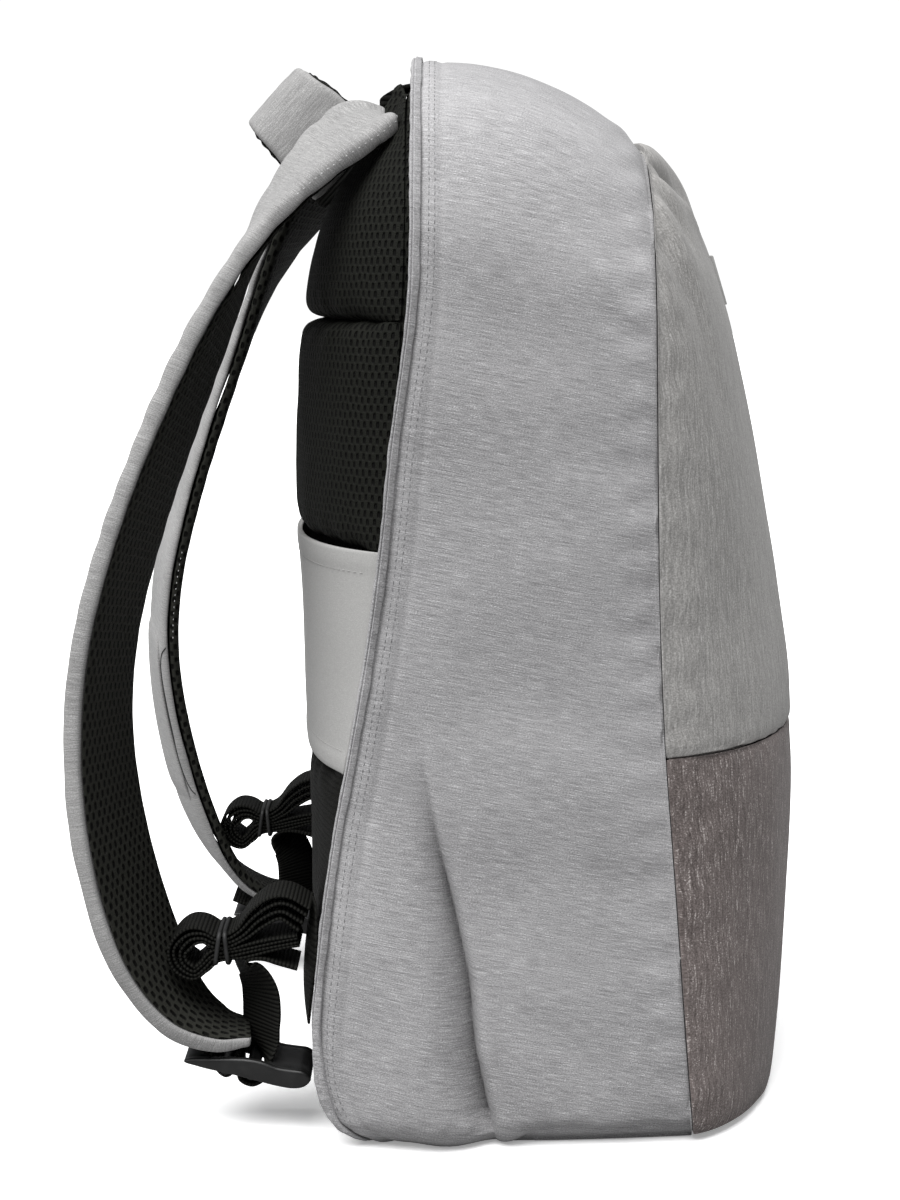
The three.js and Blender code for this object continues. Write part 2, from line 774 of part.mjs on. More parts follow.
// The cover takes the outer face and the outer edge, the mesh the inner face and inner edge.
// across is from the inner edge, -1, to the outer, 1, and deep from the wearer's side, -0.5.
const STRAP_SECTIONS = {
  cover: [
    { across: -0.965, deep: 0.13, gap: 0.5 },
    { across: -0.97, deep: 0.26, gap: 0 },
    { across: -0.84, deep: 0.5, gap: 0 },
    { across: 0.84, deep: 0.5, gap: 0 },
    { across: 1, deep: 0.2, gap: 0 },
    { across: 1, deep: -0.26, gap: 0 },
    { across: 0.94, deep: -0.35, gap: 0.5 },
  ],
  mesh: [
    { across: -1, deep: -0.24, gap: 0 },
    { across: -0.9, deep: -0.5, gap: 0 },
    { across: 0.86, deep: -0.5, gap: 0 },
    { across: 0.93, deep: -0.36, gap: -0.5 },
    { across: -0.965, deep: 0.12, gap: -0.5 },
    { across: -1, deep: 0.04, gap: -0.5 },
  ],
};

function strapPart(layer, side) {
  const sections = strapFrames().map(({ middle, width, out, half, thickness }) => {
    const place = ({ across, deep, gap }) =>
      middle
        .clone()
        .addScaledVector(width, across * half)
        .addScaledVector(out, deep * thickness + gap * GAP);
    const lift = clearOfBack(...STRAP_SECTIONS.mesh.slice(1, 3).map(place));
    return STRAP_SECTIONS[layer].map(place).map((p) => p.setY(p.y + lift).setX(side * p.x));
  });
  return loft(sections);
}

// A card pocket on the outer face of one strap
function strapPocket(side) {
  const frames = strapFrames().slice(POCKET_FIRST, POCKET_LAST + 1);
  const sections = frames.map(({ middle, width, out, thickness }) => {
    const corner = (across, deep) =>
      middle
        .clone()
        .addScaledVector(width, (across * POCKET_WIDTH) / 2)
        .addScaledVector(out, thickness / 2 + GAP + deep * POCKET_THICKNESS);
    return [corner(-1, 0), corner(1, 0), corner(1, 1), corner(-1, 1)];
  });
  sections.flat().forEach((p) => p.setX(side * p.x));
  addPiece('strap_pocket', 'grey_cloth', loft(sections));
}

// Flat band swept along a smooth path. across is the unit vector of its width, turnAt gives
// the band's twist in degrees at a share of its length, and widthAt the share of its width.
function ribbon(places, across, width, thickness, count, { turnAt, widthAt } = {}) {
  const curve = new THREE.CatmullRomCurve3(places, false, 'centripetal');
  const sections = steps(count).map((k) => {
    const tangent = curve.getTangent(k);
    const turned = across.clone().applyAxisAngle(tangent, (turnAt?.(k) ?? 0) * DEGREE);
    const normal = tangent.clone().cross(turned).normalize();
    const half = (width * (widthAt?.(k) ?? 1)) / 2;
    const corner = (a, b) =>
      curve
        .getPoint(k)
        .addScaledVector(turned, a * half)
        .addScaledVector(normal, (b * thickness) / 2);
    return [corner(-1, -1), corner(1, -1), corner(1, 1), corner(-1, 1)];
  });
  return loft(sections);
}

// Grab handle

function grabHandle() {
  const share = HANDLE_SPAN / 2 / halfWidthAt(HANDLE_HEIGHT, BOARD_ARCH);
  const rootY = backFace(share, HANDLE_HEIGHT);
  const lean = HANDLE_LEAN * DEGREE;
  const rise = point(0, Math.cos(lean), Math.sin(lean));
  const across = point(0, -Math.sin(lean), Math.cos(lean));
  const thickness = HANDLE_COVER + HANDLE_LINING + GAP;
  const layer = (inset, wall, width) => {
    const places = HANDLE_TABLE.map(({ out, up }) => {
      const x = out * (HANDLE_SPAN / 2 - inset * (Math.abs(out) > 0.9 ? 1 : 0.7));
      const reach = up * (HANDLE_RISE - inset) + HANDLE_SEAT;
      return point(x, rootY, HANDLE_HEIGHT).addScaledVector(rise, reach);
    });
    const widthAt = (k) => 1 - HANDLE_WAIST * Math.sin(Math.PI * k);
    return ribbon(places, across, width, wall, 24, { widthAt });
  };
  addPiece('grab_handle', 'grey_cloth', layer(HANDLE_COVER / 2, HANDLE_COVER, HANDLE_WIDTH));
  const inner = thickness - HANDLE_LINING / 2;
  addPiece('grab_handle_lining', 'black_webbing', layer(inner, HANDLE_LINING, HANDLE_WIDTH));
}

// Flap over the ends of the zip at the top of the back
function zipFlap() {
  const crown = archAt(0, WALL + GAP + ZIP_WIDTH / 2).top + CROWN_RISE;
  const start = backY(crown) - ZIP_RECESS + GAP;
  const rows = [-1, 1].map((end) => {
    const x = (end * FLAP_WIDTH) / 2;
    return [
      point(x, start, crown - FLAP_THICKNESS),
      point(x, start + FLAP_LENGTH, crown - FLAP_THICKNESS - FLAP_DROP),
      point(x, start + FLAP_LENGTH, crown - FLAP_DROP),
      point(x, start, crown),
    ];
  });
  addPiece('zip_flap', 'black_webbing', loft(rows));
}

// Webbing and adjusters. Places are measured from the adjuster's middle bar.

const LOCK_X = (WIDTH / 2) * STRAP_TABLE.at(-1).across;
const LOCK_Y = BACK_PLANE + LOCK_BACK;
const lockPoint = (x, { back, up }) => point(x, LOCK_Y + back, LOCK_HEIGHT + up);

function adjuster(side) {
  const centre = side * LOCK_X;
  const half = WEBBING_WIDTH / 2 + LOCK_CLEARANCE;
  const profile = (rows, x) => [
    ...rows.map(({ at, low }) => lockPoint(x, { back: (0.5 - at) * LOCK_LENGTH, up: low })),
    ...rows.toReversed().map(({ at, high }) => lockPoint(x, { back: (0.5 - at) * LOCK_LENGTH, up: high })),
  ];
  const slab = (rows, from, to) => solidFrom(loft([profile(rows, from), profile(rows, to)]));
  const bar = (back, up, radius) => {
    const rod = new THREE.CylinderGeometry(radius, radius, 2 * half + LOCK_RAIL, 8);
    rod.rotateZ(Math.PI / 2);
    rod.translate(centre, LOCK_Y + back, LOCK_HEIGHT + up);
    return solidFrom(rod);
  };
  const outer = half + LOCK_RAIL;
  const solid = slab(LOCK_TABLE, centre - outer, centre - half)
    .add(slab(LOCK_TABLE, centre + half, centre + outer))
    .add(slab(LOCK_TABLE.slice(0, 3), centre - outer, centre + outer))
    .add(slab(LOCK_TABLE.slice(-3), centre - outer, centre + outer))
    .add(bar(0, 0, LOCK_BAR / 2))
    .add(bar(FIXED_BAR_BACK, FIXED_BAR_UP, LOCK_BAR / 2));
  return geometryFrom(solid);
}

function webbing(side, table, thickness, count) {
  const rows = table.map((row, k) => ({ turn: 0, ...row, at: k / (table.length - 1) }));
  const places = rows.map((row) => lockPoint(side * LOCK_X, row));
  const turnAt = (k) => side * along(rows, 'turn', k);
  return ribbon(places, point(1, 0, 0), WEBBING_WIDTH, thickness, count, { turnAt });
}

// Rubber band round the folded webbing
function webbingTie(side) {
  const centre = side * LOCK_X;
  const [half, reach] = [WEBBING_WIDTH / 2 + GAP, TIE_REACH + GAP];
  const loop = (grow, back) => [
    lockPoint(centre - half - grow, { back, up: TIE_UP - reach - grow }),
    lockPoint(centre + half + grow, { back, up: TIE_UP - reach - grow }),
    lockPoint(centre + half + grow, { back, up: TIE_UP + reach + grow }),
    lockPoint(centre - half - grow, { back, up: TIE_UP + reach + grow }),
  ];
  const sections = [0, 1, 2, 3].map((k) => [
    loop(0, TIE_BACK - TIE_WIDTH / 2)[k],
    loop(TIE_THICKNESS, TIE_BACK - TIE_WIDTH / 2)[k],
    loop(TIE_THICKNESS, TIE_BACK + TIE_WIDTH / 2)[k],
    loop(0, TIE_BACK + TIE_WIDTH / 2)[k],
  ]);
  return ring(sections);
}

// Ribbed wing at the lower corner of the back that carries the webbing
function webbingWing(side) {
  const sections = steps(6).map((k) => {
    const z = lerp(WING_LOW, WING_HIGH, k);
    const half = (WING_WIDTH / 2) * Math.sin(Math.PI * lerp(0.12, 0.88, k));
    const columns = [-1, -0.4, 0.4, 1].map((across) => {
      const x = LOCK_X + across * half;
      const share = x / halfWidthAt(z, BOARD_ARCH);
      const y = Math.max(backFace(share, z), boardFace(share, z) + 1.5) + GAP * 2;
      return { x: side * x, y, lift: 1 + WING_RISE * (1 - across ** 2) * Math.sin(Math.PI * k) };
    });
    return [
      ...columns.map(({ x, y }) => point(x, y, z)),
      ...columns.toReversed().map(({ x, y, lift }) => point(x, y + lift, z)),
    ];
  });
  return loft(sections);
}

sideBand();
edgePiping();
zipBand();
frontPanel('front_lower', 'brown_cloth', FOOT, COLOUR_SEAM - GAP, 8);
frontPanel('front_upper', 'grey_cloth', COLOUR_SEAM, archAt(1, 0).top, 8);
frontPlate();
basePanel();
backBoard();
backPad('back_lower', 'black_webbing', FOOT, LUGGAGE_TOP - LUGGAGE_HEIGHT - GAP);
luggageStrap();
backPad('back_pad_lower', 'black_mesh', LUGGAGE_TOP + GAP, PAD_SPLIT - GAP / 2);
backPad('back_pad_upper', 'black_mesh', PAD_SPLIT + GAP / 2, BOARD_ARCH.top);
grabHandle();
zipFlap();
strapPocket(1);
for (const [label, side] of [['left', -1], ['right', 1]]) {
  addPiece(`strap_cover_${label}`, 'grey_cloth', strapPart('cover', side));
  addPiece(`strap_mesh_${label}`, 'black_mesh', strapPart('mesh', side));
  addPiece(`adjuster_${label}`, 'black_plastic', adjuster(side));
  addPiece(`adjuster_tab_${label}`, 'black_webbing', webbing(side, TAB_TABLE, WEBBING_THICKNESS, 16));
  addPiece(`webbing_${label}`, 'black_webbing', webbing(side, STRAND_TABLE, WEBBING_THICKNESS, 26));
  addPiece(`webbing_roll_${label}`, 'black_webbing', webbing(side, ROLL_TABLE, ROLL_THICKNESS, 30));
  addPiece(`webbing_tie_${label}`, 'black_rubber', webbingTie(side));
  addPiece(`webbing_wing_${label}`, 'black_webbing', webbingWing(side));
}

export default pack;
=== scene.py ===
# %% [markdown]
# # A city backpack, dressed in Blender
# A finished CAD model gives every piece of this backpack its place and size. This lesson
# dresses that model: cloth, mesh, webbing and moulded plastic are built over the solids.
# The frame is loaded first and its box is kept, so the dressed bag can be compared with it.

# %% Load the frame
import math

import bpy
import numpy as np
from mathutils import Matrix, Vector, noise
from mathutils.bvhtree import BVHTree


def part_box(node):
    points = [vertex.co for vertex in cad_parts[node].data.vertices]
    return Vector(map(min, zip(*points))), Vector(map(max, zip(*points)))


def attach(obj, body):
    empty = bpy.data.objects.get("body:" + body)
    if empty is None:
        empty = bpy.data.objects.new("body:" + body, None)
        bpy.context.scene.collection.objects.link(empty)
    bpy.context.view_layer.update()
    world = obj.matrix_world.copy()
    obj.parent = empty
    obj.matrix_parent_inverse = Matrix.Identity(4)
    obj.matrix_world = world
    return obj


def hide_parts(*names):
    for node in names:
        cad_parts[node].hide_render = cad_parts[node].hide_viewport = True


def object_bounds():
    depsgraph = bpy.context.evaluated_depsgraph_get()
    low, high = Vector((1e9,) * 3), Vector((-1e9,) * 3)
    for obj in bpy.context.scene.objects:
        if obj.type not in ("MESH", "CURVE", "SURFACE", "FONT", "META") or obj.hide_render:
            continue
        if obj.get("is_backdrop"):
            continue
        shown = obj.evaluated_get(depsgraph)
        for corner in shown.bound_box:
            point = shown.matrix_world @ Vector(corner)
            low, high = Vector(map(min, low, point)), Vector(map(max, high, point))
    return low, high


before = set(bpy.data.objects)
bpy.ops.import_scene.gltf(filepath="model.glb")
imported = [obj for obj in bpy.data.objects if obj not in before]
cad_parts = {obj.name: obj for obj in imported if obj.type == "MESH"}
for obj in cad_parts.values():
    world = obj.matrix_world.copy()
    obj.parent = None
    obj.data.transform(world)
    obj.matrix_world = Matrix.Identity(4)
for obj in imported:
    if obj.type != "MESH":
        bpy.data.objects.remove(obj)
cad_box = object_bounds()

print("pieces of the frame:", len(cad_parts), "box:", [list(corner) for corner in cad_box])

# %% [markdown]
# ## The camera
# The bag is seen from its left side, a metre away and from a little above its middle. A real
# camera with a 70 mm lens would do the same. The aim is given as two turns, because a
# camera with no turn looks straight down.

# %% Camera
deg = math.radians
CAMERA_PLACE = (-1.080, 0.055, 0.358)
CAMERA_PITCH = 7.8
LENS_MM, SENSOR_MM = 70.08, 36

deselect = lambda: bpy.ops.object.select_all(action="DESELECT")
deselect()
bpy.ops.object.camera_add(location=CAMERA_PLACE, rotation=(deg(90 - CAMERA_PITCH), 0, deg(-90)))
camera = bpy.context.object
camera.data.lens, camera.data.sensor_width = LENS_MM, SENSOR_MM
bpy.context.scene.camera = camera
print("camera", tuple(camera.location), "lens", camera.data.lens)

# %% [markdown]
# ## Small tools for nodes
# A material is a tree of nodes. Helpers keep the trees short to write: one adds a node and
# joins or sets its sockets, and two start and end a shader group. Effects that several
# finishes share are groups, and each finish gives them its own values.

# %% Node helpers
def add(tree, kind, inputs=None, **settings):
    """A new node. Each input is joined to the given socket, or set to the given value."""
    made = tree.nodes.new("ShaderNode" + kind)
    for key, value in settings.items():
        setattr(made, key, value)
    for key, value in (inputs or {}).items():
        if isinstance(value, bpy.types.NodeSocket):
            tree.links.new(value, made.inputs[key])
        else:
            made.inputs[key].default_value = value
    return made


def new_group(name, inputs):
    """A group that will give a colour, a height and a roughness, and its own inputs' sockets."""
    tree = bpy.data.node_groups.new(name, "ShaderNodeTree")
    for label, kind, default in inputs:
        tree.interface.new_socket(label, in_out="INPUT", socket_type="NodeSocket" + kind).default_value = default
    for label, kind in (("Color", "Color"), ("Height", "Float"), ("Roughness", "Float")):
        tree.interface.new_socket(label, in_out="OUTPUT", socket_type="NodeSocket" + kind)
    return tree, tree.nodes.new("NodeGroupInput").outputs


def end_group(tree, colour, height, roughness):
    wanted = tree.nodes.new("NodeGroupOutput").inputs
    for label, value in (("Color", colour), ("Height", height), ("Roughness", roughness)):
        tree.links.new(value, wanted[label])
    print(tree.name, "has", len(tree.nodes), "nodes")


def math_node(tree, operation, *values):
    return add(tree, "Math", dict(enumerate(values)), operation=operation).outputs[0]


def stretched_noise(tree, place, stretch, detail, roughness):
    scaled = add(tree, "VectorMath", {0: place, 1: stretch}, operation="MULTIPLY").outputs[0]
    given = {"Vector": scaled, "Scale": 1.0, "Detail": detail, "Roughness": roughness}
    return add(tree, "TexNoise", given).outputs[0]


def ramp(tree, value, low, high, to_low=0.0, to_high=1.0):
    given = {"Value": value, "From Min": low, "From Max": high, "To Min": to_low, "To Max": to_high}
    return add(tree, "MapRange", given, interpolation_type="SMOOTHSTEP").outputs[0]


def blend(tree, share, first, second):
    return add(tree, "Mix", {0: share, 6: first, 7: second}, data_type="RGBA").outputs[2]


print("node helpers ready")

# %% [markdown]
# ## Light and floor
# A studio lights such a bag with big soft lamps on white paper. A wide sun, high on the
# camera's side, gives soft shade with the same strength everywhere, so the paper stays
# evenly white, and a bright sky fills the shadows. The camera alone sees the sky brighter.

# %% Studio
SKY_FILL, SKY_SEEN = 0.32, 1.05
SUN_STRENGTH, SUN_SPREAD = 5.8, 60
SUN_FROM = Vector((-0.33, 0.24, 0.91))
FLOOR_WIDE = 30

world = bpy.data.worlds.new("studio")
bpy.context.scene.world = world
world.use_nodes = True
sky = world.node_tree
sky.nodes.clear()
fill = add(sky, "Background", {"Color": (0.97, 0.98, 1, 1), "Strength": SKY_FILL}).outputs[0]
seen = add(sky, "Background", {"Color": (1, 1, 1, 1), "Strength": SKY_SEEN}).outputs[0]
by_camera = add(sky, "LightPath").outputs["Is Camera Ray"]
add(sky, "OutputWorld", {0: add(sky, "MixShader", {0: by_camera, 1: fill, 2: seen}).outputs[0]})

deselect()
bpy.ops.object.light_add(type="SUN", location=SUN_FROM * 3)
sun = bpy.context.object
sun.rotation_euler = SUN_FROM.to_track_quat("Z", "Y").to_euler()
sun.data.energy, sun.data.angle = SUN_STRENGTH, deg(SUN_SPREAD)

deselect()
bpy.ops.mesh.primitive_plane_add(size=FLOOR_WIDE)
floor = bpy.context.object
floor.name = "studio_floor"
floor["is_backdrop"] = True
bpy.context.scene.view_settings.view_transform = "Standard"
print("sun", sun.data.energy, "sky", SKY_FILL)

# %% [markdown]
# ## Heather weave
# The grey and brown cloth is woven from yarns of mixed shades, with thicker pale slubs that
# run one way. A photograph of cloth could be wrapped round the bag, but stretched noise
# gives the same look at any size. Four noises stretched along the slubs make broad patches,
# long tones, streaks and yarn speckle.

# %% Heather group
heather, given = new_group("Heather weave", [
    ("Place mm", "Vector", (0, 0, 0)), ("Shade", "Color", (0.2, 0.2, 0.2, 1)), ("Light", "Color", (0.4, 0.4, 0.4, 1)),
    ("Slub", "Color", (0.7, 0.7, 0.7, 1)), ("Slub amount", "Float", 0.6),
])
speckle, streak, tone, patch = (
    stretched_noise(heather, given["Place mm"], *row)
    for row in (
        ((2.5, 2.5, 1.5), 2.0, 0.7), ((2.2, 2.2, 0.13), 2.0, 0.6),
        ((1.1, 1.1, 0.03), 2.0, 0.5), ((0.02, 0.02, 0.012), 1.0, 0.5),
    )
)
mixed = math_node(heather, "MULTIPLY", streak, 0.55)
for part, share in ((speckle, 0.8), (tone, 0.25), (patch, 0.2)):
    mixed = math_node(heather, "MULTIPLY_ADD", part, share, mixed)
dense = math_node(heather, "MULTIPLY_ADD", speckle, 0.8, math_node(heather, "MULTIPLY", streak, 0.8))
slub = math_node(heather, "MULTIPLY", ramp(heather, dense, 0.88, 1.06), given["Slub amount"])
yarns = blend(heather, ramp(heather, mixed, 0.60, 1.2), given["Shade"], given["Light"])
raised = math_node(heather, "MULTIPLY_ADD", slub, 0.5, math_node(heather, "MULTIPLY", mixed, 0.7))
end_group(heather, blend(heather, slub, yarns, given["Slub"]), raised, ramp(heather, speckle, 0.2, 0.8, 0.95, 0.78))

# %% [markdown]
# ## Spacer mesh
# Back pads and strap linings are spacer mesh: a stiff knit with rows of open cells, each row
# shifted by half a cell. Two cosine waves multiplied together give just such a pattern.
# The cells are sunk, and their darker colour is painted shade inside the open cells; the threads round them catch the
# light.

# %% Mesh group
spacer, given = new_group("Spacer mesh", [
    ("Place mm", "Vector", (0, 0, 0)), ("Cell width", "Float", 4.4), ("Cell height", "Float", 6.0),
    ("Thread", "Color", (0.02, 0.02, 0.02, 1)), ("Cell", "Color", (0.002, 0.002, 0.002, 1)),
])
wander = add(spacer, "TexNoise", {"Vector": given["Place mm"], "Scale": 0.12, "Detail": 1.0}).outputs["Color"]
wander = add(spacer, "VectorMath", {0: wander, 1: (1.6, 1.6, 0)}, operation="MULTIPLY").outputs[0]
moved = add(spacer, "VectorMath", {0: given["Place mm"], 1: wander}, operation="ADD").outputs[0]
parts = add(spacer, "SeparateXYZ", {0: moved}).outputs
waves = []
for part, size in ((parts[0], given["Cell width"]), (parts[1], given["Cell height"])):
    turns = math_node(spacer, "DIVIDE", math_node(spacer, "MULTIPLY", part, 2 * math.pi), size)
    waves.append(math_node(spacer, "COSINE", turns))
opening = ramp(spacer, math_node(spacer, "MULTIPLY", *waves), 0.0, 0.75)
threads = stretched_noise(spacer, moved, (2.2, 2.2, 2.2), 1.0, 0.6)
raised = math_node(spacer, "MULTIPLY_ADD", threads, 0.25, math_node(spacer, "SUBTRACT", 1.0, opening))
# The darker Cell colour fills the openings: painted shade inside the open cells.
colour = blend(spacer, opening, given["Thread"], given["Cell"])
end_group(spacer, colour, raised, ramp(spacer, threads, 0.3, 0.7, 0.9, 0.65))

# %% [markdown]
# ## Ribs
# Webbing and the panel at the foot of the back are woven in fine ribs. One wave along the
# piece gives the ribs, and a little noise keeps them from being perfect. The colour turns to
# Low where the weave sinks: painted shade in the grooves between the ribs, with the noise
# adding random tone.

# %% Rib group
YARN_MM = 1.1
ribs, given = new_group("Woven ribs", [
    ("Place mm", "Vector", (0, 0, 0)), ("Pitch", "Float", 1.6),
    ("High", "Color", (0.02, 0.02, 0.02, 1)), ("Low", "Color", (0.004, 0.004, 0.004, 1)),
])
parts = add(ribs, "SeparateXYZ", {0: given["Place mm"]}).outputs
turns = math_node(ribs, "DIVIDE", math_node(ribs, "MULTIPLY", parts[1], math.pi), given["Pitch"])
rib = math_node(ribs, "ABSOLUTE", math_node(ribs, "SINE", turns))
turns = math_node(ribs, "MULTIPLY", parts[0], math.pi / YARN_MM)
yarns = math_node(ribs, "ABSOLUTE", math_node(ribs, "SINE", turns))
fuzz = stretched_noise(ribs, given["Place mm"], (1.4, 1.4, 1.4), 2.0, 0.6)
woven = math_node(ribs, "MULTIPLY_ADD", yarns, 0.22, math_node(ribs, "MULTIPLY_ADD", fuzz, 0.35, rib))
# Low where the weave sinks, High where it rises: painted shade in the rib grooves.
colour = blend(ribs, ramp(ribs, woven, 0.3, 1.3), given["Low"], given["High"])
end_group(ribs, colour, woven, ramp(ribs, fuzz, 0.3, 0.7, 0.85, 0.6))

# %% [markdown]
# ## The finishes
# Each finish places one group with its own values and feeds the Principled shader. Sheen is
# the soft glow of fibre ends at a grazing angle. It is the same all over, so it is set on
# the shader itself. Patterns read Object coordinates, turned so that the slubs run the right
# way, or the piece's own UV map, measured in metres, where they follow a strap.

# %% Finish helpers
MM = 1000  # millimetres in a metre
WEAVE_DEPTH, MESH_DEPTH, WEBBING_DEPTH, RIB_DEPTH = 0.00013, 0.0014, 0.0004, 0.0003


def new_material(name, sheen=0.0, specular=0.3):
    material = bpy.data.materials.new(name)
    material.use_nodes = True
    shader = material.node_tree.nodes["Principled BSDF"]
    for label, value in (("Sheen Weight", sheen), ("Sheen Roughness", 0.5), ("Specular IOR Level", specular)):
        shader.inputs[label].default_value = value
    return material, material.node_tree, shader


def place_in_mm(tree, turn=(0, 0, 0), use_uv=False, depth_share=1.0):
    source = add(tree, "TexCoord").outputs["UV" if use_uv else "Object"]
    given = {"Vector": source, "Rotation": turn, "Scale": (MM, MM * depth_share, MM)}
    return add(tree, "Mapping", given).outputs[0]


def place_round_pad(tree):
    """Distance from the middle of the back, measured over the pad's rounded side, and height."""
    parts = add(tree, "SeparateXYZ", {0: place_in_mm(tree)}).outputs
    across = math_node(tree, "MULTIPLY_ADD", parts[1], -0.8, math_node(tree, "ABSOLUTE", parts[0]))
    return add(tree, "CombineXYZ", {0: across, 1: parts[2]}).outputs[0]


def join_to_shader(tree, shader, colour, roughness, height, depth):
    bump = add(tree, "Bump", {"Height": height, "Strength": 1.0, "Distance": depth}).outputs[0]
    for label, value in (("Base Color", colour), ("Roughness", roughness), ("Normal", bump)):
        tree.links.new(value, shader.inputs[label])


def use_group(tree, shader, group, place, values, depth):
    made = add(tree, "Group", {"Place mm": place, **values}, node_tree=group).outputs
    join_to_shader(tree, shader, made["Color"], made["Roughness"], made["Height"], depth)


def heather_cloth(name, shade, light, slub, amount, turn=(0, 0, 0), use_uv=False, depth_share=1.0):
    material, tree, shader = new_material(name, sheen=0.12)
    values = {"Shade": (*shade, 1), "Light": (*light, 1), "Slub": (*slub, 1), "Slub amount": amount}
    use_group(tree, shader, heather, place_in_mm(tree, turn, use_uv, depth_share), values, WEAVE_DEPTH)
    return material


def black_cloth(name, group, place_kind, values, depth):
    material, tree, shader = new_material(name, specular=0.10)
    place = place_round_pad(tree) if place_kind == "pad" else place_in_mm(tree, use_uv=place_kind == "uv")
    use_group(tree, shader, group, place, values, depth)
    return material


# Colours of heather: the darker yarns, the lighter yarns and the slubs.
GREY = ((0.146, 0.144, 0.147), (0.438, 0.432, 0.438), (0.64, 0.64, 0.65))
FRONT_GREY = ((0.170, 0.166, 0.160), (0.40, 0.390, 0.377), (0.58, 0.57, 0.56))
STRAP_GREY = ((0.150, 0.148, 0.147), (0.375, 0.371, 0.367), (0.53, 0.53, 0.52))
BAND_GREY = ((0.30, 0.297, 0.290), (0.385, 0.381, 0.372), (0.46, 0.46, 0.45))
BROWN = ((0.050, 0.039, 0.036), (0.215, 0.182, 0.174), (0.54, 0.50, 0.48))
SLANT = 11  # the slubs on the sides lean this many degrees from level
QUARTER = deg(90)

grey_side = heather_cloth("grey heather, slubs across", *GREY, 0.55, turn=(deg(90 - SLANT), 0, 0))
grey_band = heather_cloth(
    "grey heather round the side band", *GREY, 0.6, turn=(QUARTER, deg(-SLANT), 0), use_uv=True)
grey_front = heather_cloth("grey heather, slubs upright", *FRONT_GREY, 0.45, depth_share=0.15)
grey_strap = heather_cloth("grey heather across a strap", *STRAP_GREY, 0.4, turn=(0, QUARTER, 0), use_uv=True)
brown_front = heather_cloth("brown heather, slubs upright", *BROWN, 0.85, depth_share=0.15)
grey_plain = heather_cloth("plain grey band", *BAND_GREY, 0.2, turn=(0, QUARTER, 0))

# Each Cell colour is painted shade inside the mesh's open cells.
PAD_MESH = {"Thread": (0.0105, 0.0110, 0.0088, 1), "Cell": (0.0024, 0.0024, 0.0020, 1),
            "Cell width": 4.8, "Cell height": 6.6}
STRAP_MESH = {"Thread": (0.024, 0.0243, 0.0205, 1), "Cell": (0.0030, 0.0030, 0.0025, 1),
              "Cell width": 5.2, "Cell height": 7.2}
# Each Low colour is painted shade in the grooves between the ribs.
WEB_RIBS = {"High": (0.0105, 0.0105, 0.0090, 1), "Low": (0.002, 0.002, 0.0018, 1), "Pitch": 1.7}
BACK_RIBS = {"High": (0.0065, 0.0065, 0.0055, 1), "Low": (0.0024, 0.0024, 0.0020, 1), "Pitch": 2.6}
pad_mesh = black_cloth("black spacer mesh on pads", spacer, "pad", PAD_MESH, MESH_DEPTH)
strap_mesh = black_cloth("black spacer mesh on straps", spacer, "uv", STRAP_MESH, MESH_DEPTH)
webbing_black = black_cloth("black webbing", ribs, "uv", WEB_RIBS, WEBBING_DEPTH)
ribbed_back = black_cloth("black ribbed back cloth", ribs, "pad", BACK_RIBS, RIB_DEPTH)
print("finishes so far:", len(bpy.data.materials))

# %% [markdown]
# Moulded nylon is satin and slightly uneven, rubber is duller, and sewing thread is smooth.
# The same small recipe serves them all: noise moves the roughness a little and gives the
# surface a faint grain. The floor is white paper with a trace of grain. For the camera
# alone the paper is whiter and glows a little, so that it looks evenly white.

# %% Plain finishes
def grained(name, dark, light, roughness, grain_mm, depth, specular=0.4, sheen=0.0):
    material, tree, shader = new_material(name, sheen, specular)
    place = place_in_mm(tree)
    size = 1 / grain_mm
    grain = stretched_noise(tree, place, (size,) * 3, 3.0, 0.6)
    wear = stretched_noise(tree, place, (size / 14,) * 3, 2.0, 0.5)
    colour = blend(tree, ramp(tree, wear, 0.35, 0.7), (*dark, 1), (*light, 1))
    worn = math_node(tree, "MULTIPLY_ADD", grain, 0.5, wear)
    join_to_shader(tree, shader, colour, ramp(tree, worn, 0.5, 1.0, roughness - 0.06, roughness + 0.08), grain, depth)
    return material


nylon = grained("satin black nylon", (0.006, 0.006, 0.006), (0.012, 0.012, 0.012), 0.38, 0.5, 0.00004)
rubber = grained("black rubber", (0.010, 0.010, 0.010), (0.02, 0.02, 0.02), 0.55, 0.6, 0.00005)
pale_thread = grained("pale sewing thread", (0.5, 0.5, 0.5), (0.68, 0.68, 0.68), 0.6, 0.3, 0.00005, sheen=0.1)
# Darker than the cloth: the side band's stitches take this colour as painted shade in their dents.
stitch_shade_thread = grained("grey thread, painted stitch shade", (0.13, 0.13, 0.133), (0.22, 0.22, 0.225), 0.6, 0.3, 0.00005, sheen=0.1)
black_thread = grained("black thread and coil", (0.012, 0.012, 0.012), (0.03, 0.03, 0.03), 0.5, 0.4, 0.00005)
paper = grained("white studio paper", (0.32, 0.32, 0.32), (0.34, 0.34, 0.34), 0.8, 3.0, 0.00002, specular=0.1)

PAPER_GLOW = 0.28
BLACK, WHITE = (0, 0, 0, 1), (1, 1, 1, 1)
tree = paper.node_tree
sockets = tree.nodes["Principled BSDF"].inputs
by_camera = add(tree, "LightPath").outputs["Is Camera Ray"]
plain = sockets["Base Color"].links[0].from_socket
tree.links.new(blend(tree, by_camera, plain, WHITE), sockets["Base Color"])
tree.links.new(blend(tree, by_camera, BLACK, WHITE), sockets["Emission Color"])
sockets["Emission Strength"].default_value = PAPER_GLOW
floor.data.materials.append(paper)
print("finishes in all:", len(bpy.data.materials))

# %% [markdown]
# ## Small tools for meshes
# Most pieces start in one of two ways. A panel starts as a merged copy of its CAD solid,
# which is subdivided into a smooth, fine mesh. A strap starts as a flat grid that is moved,
# row by row, to sections along a path. Both then get their folds by moving their points.

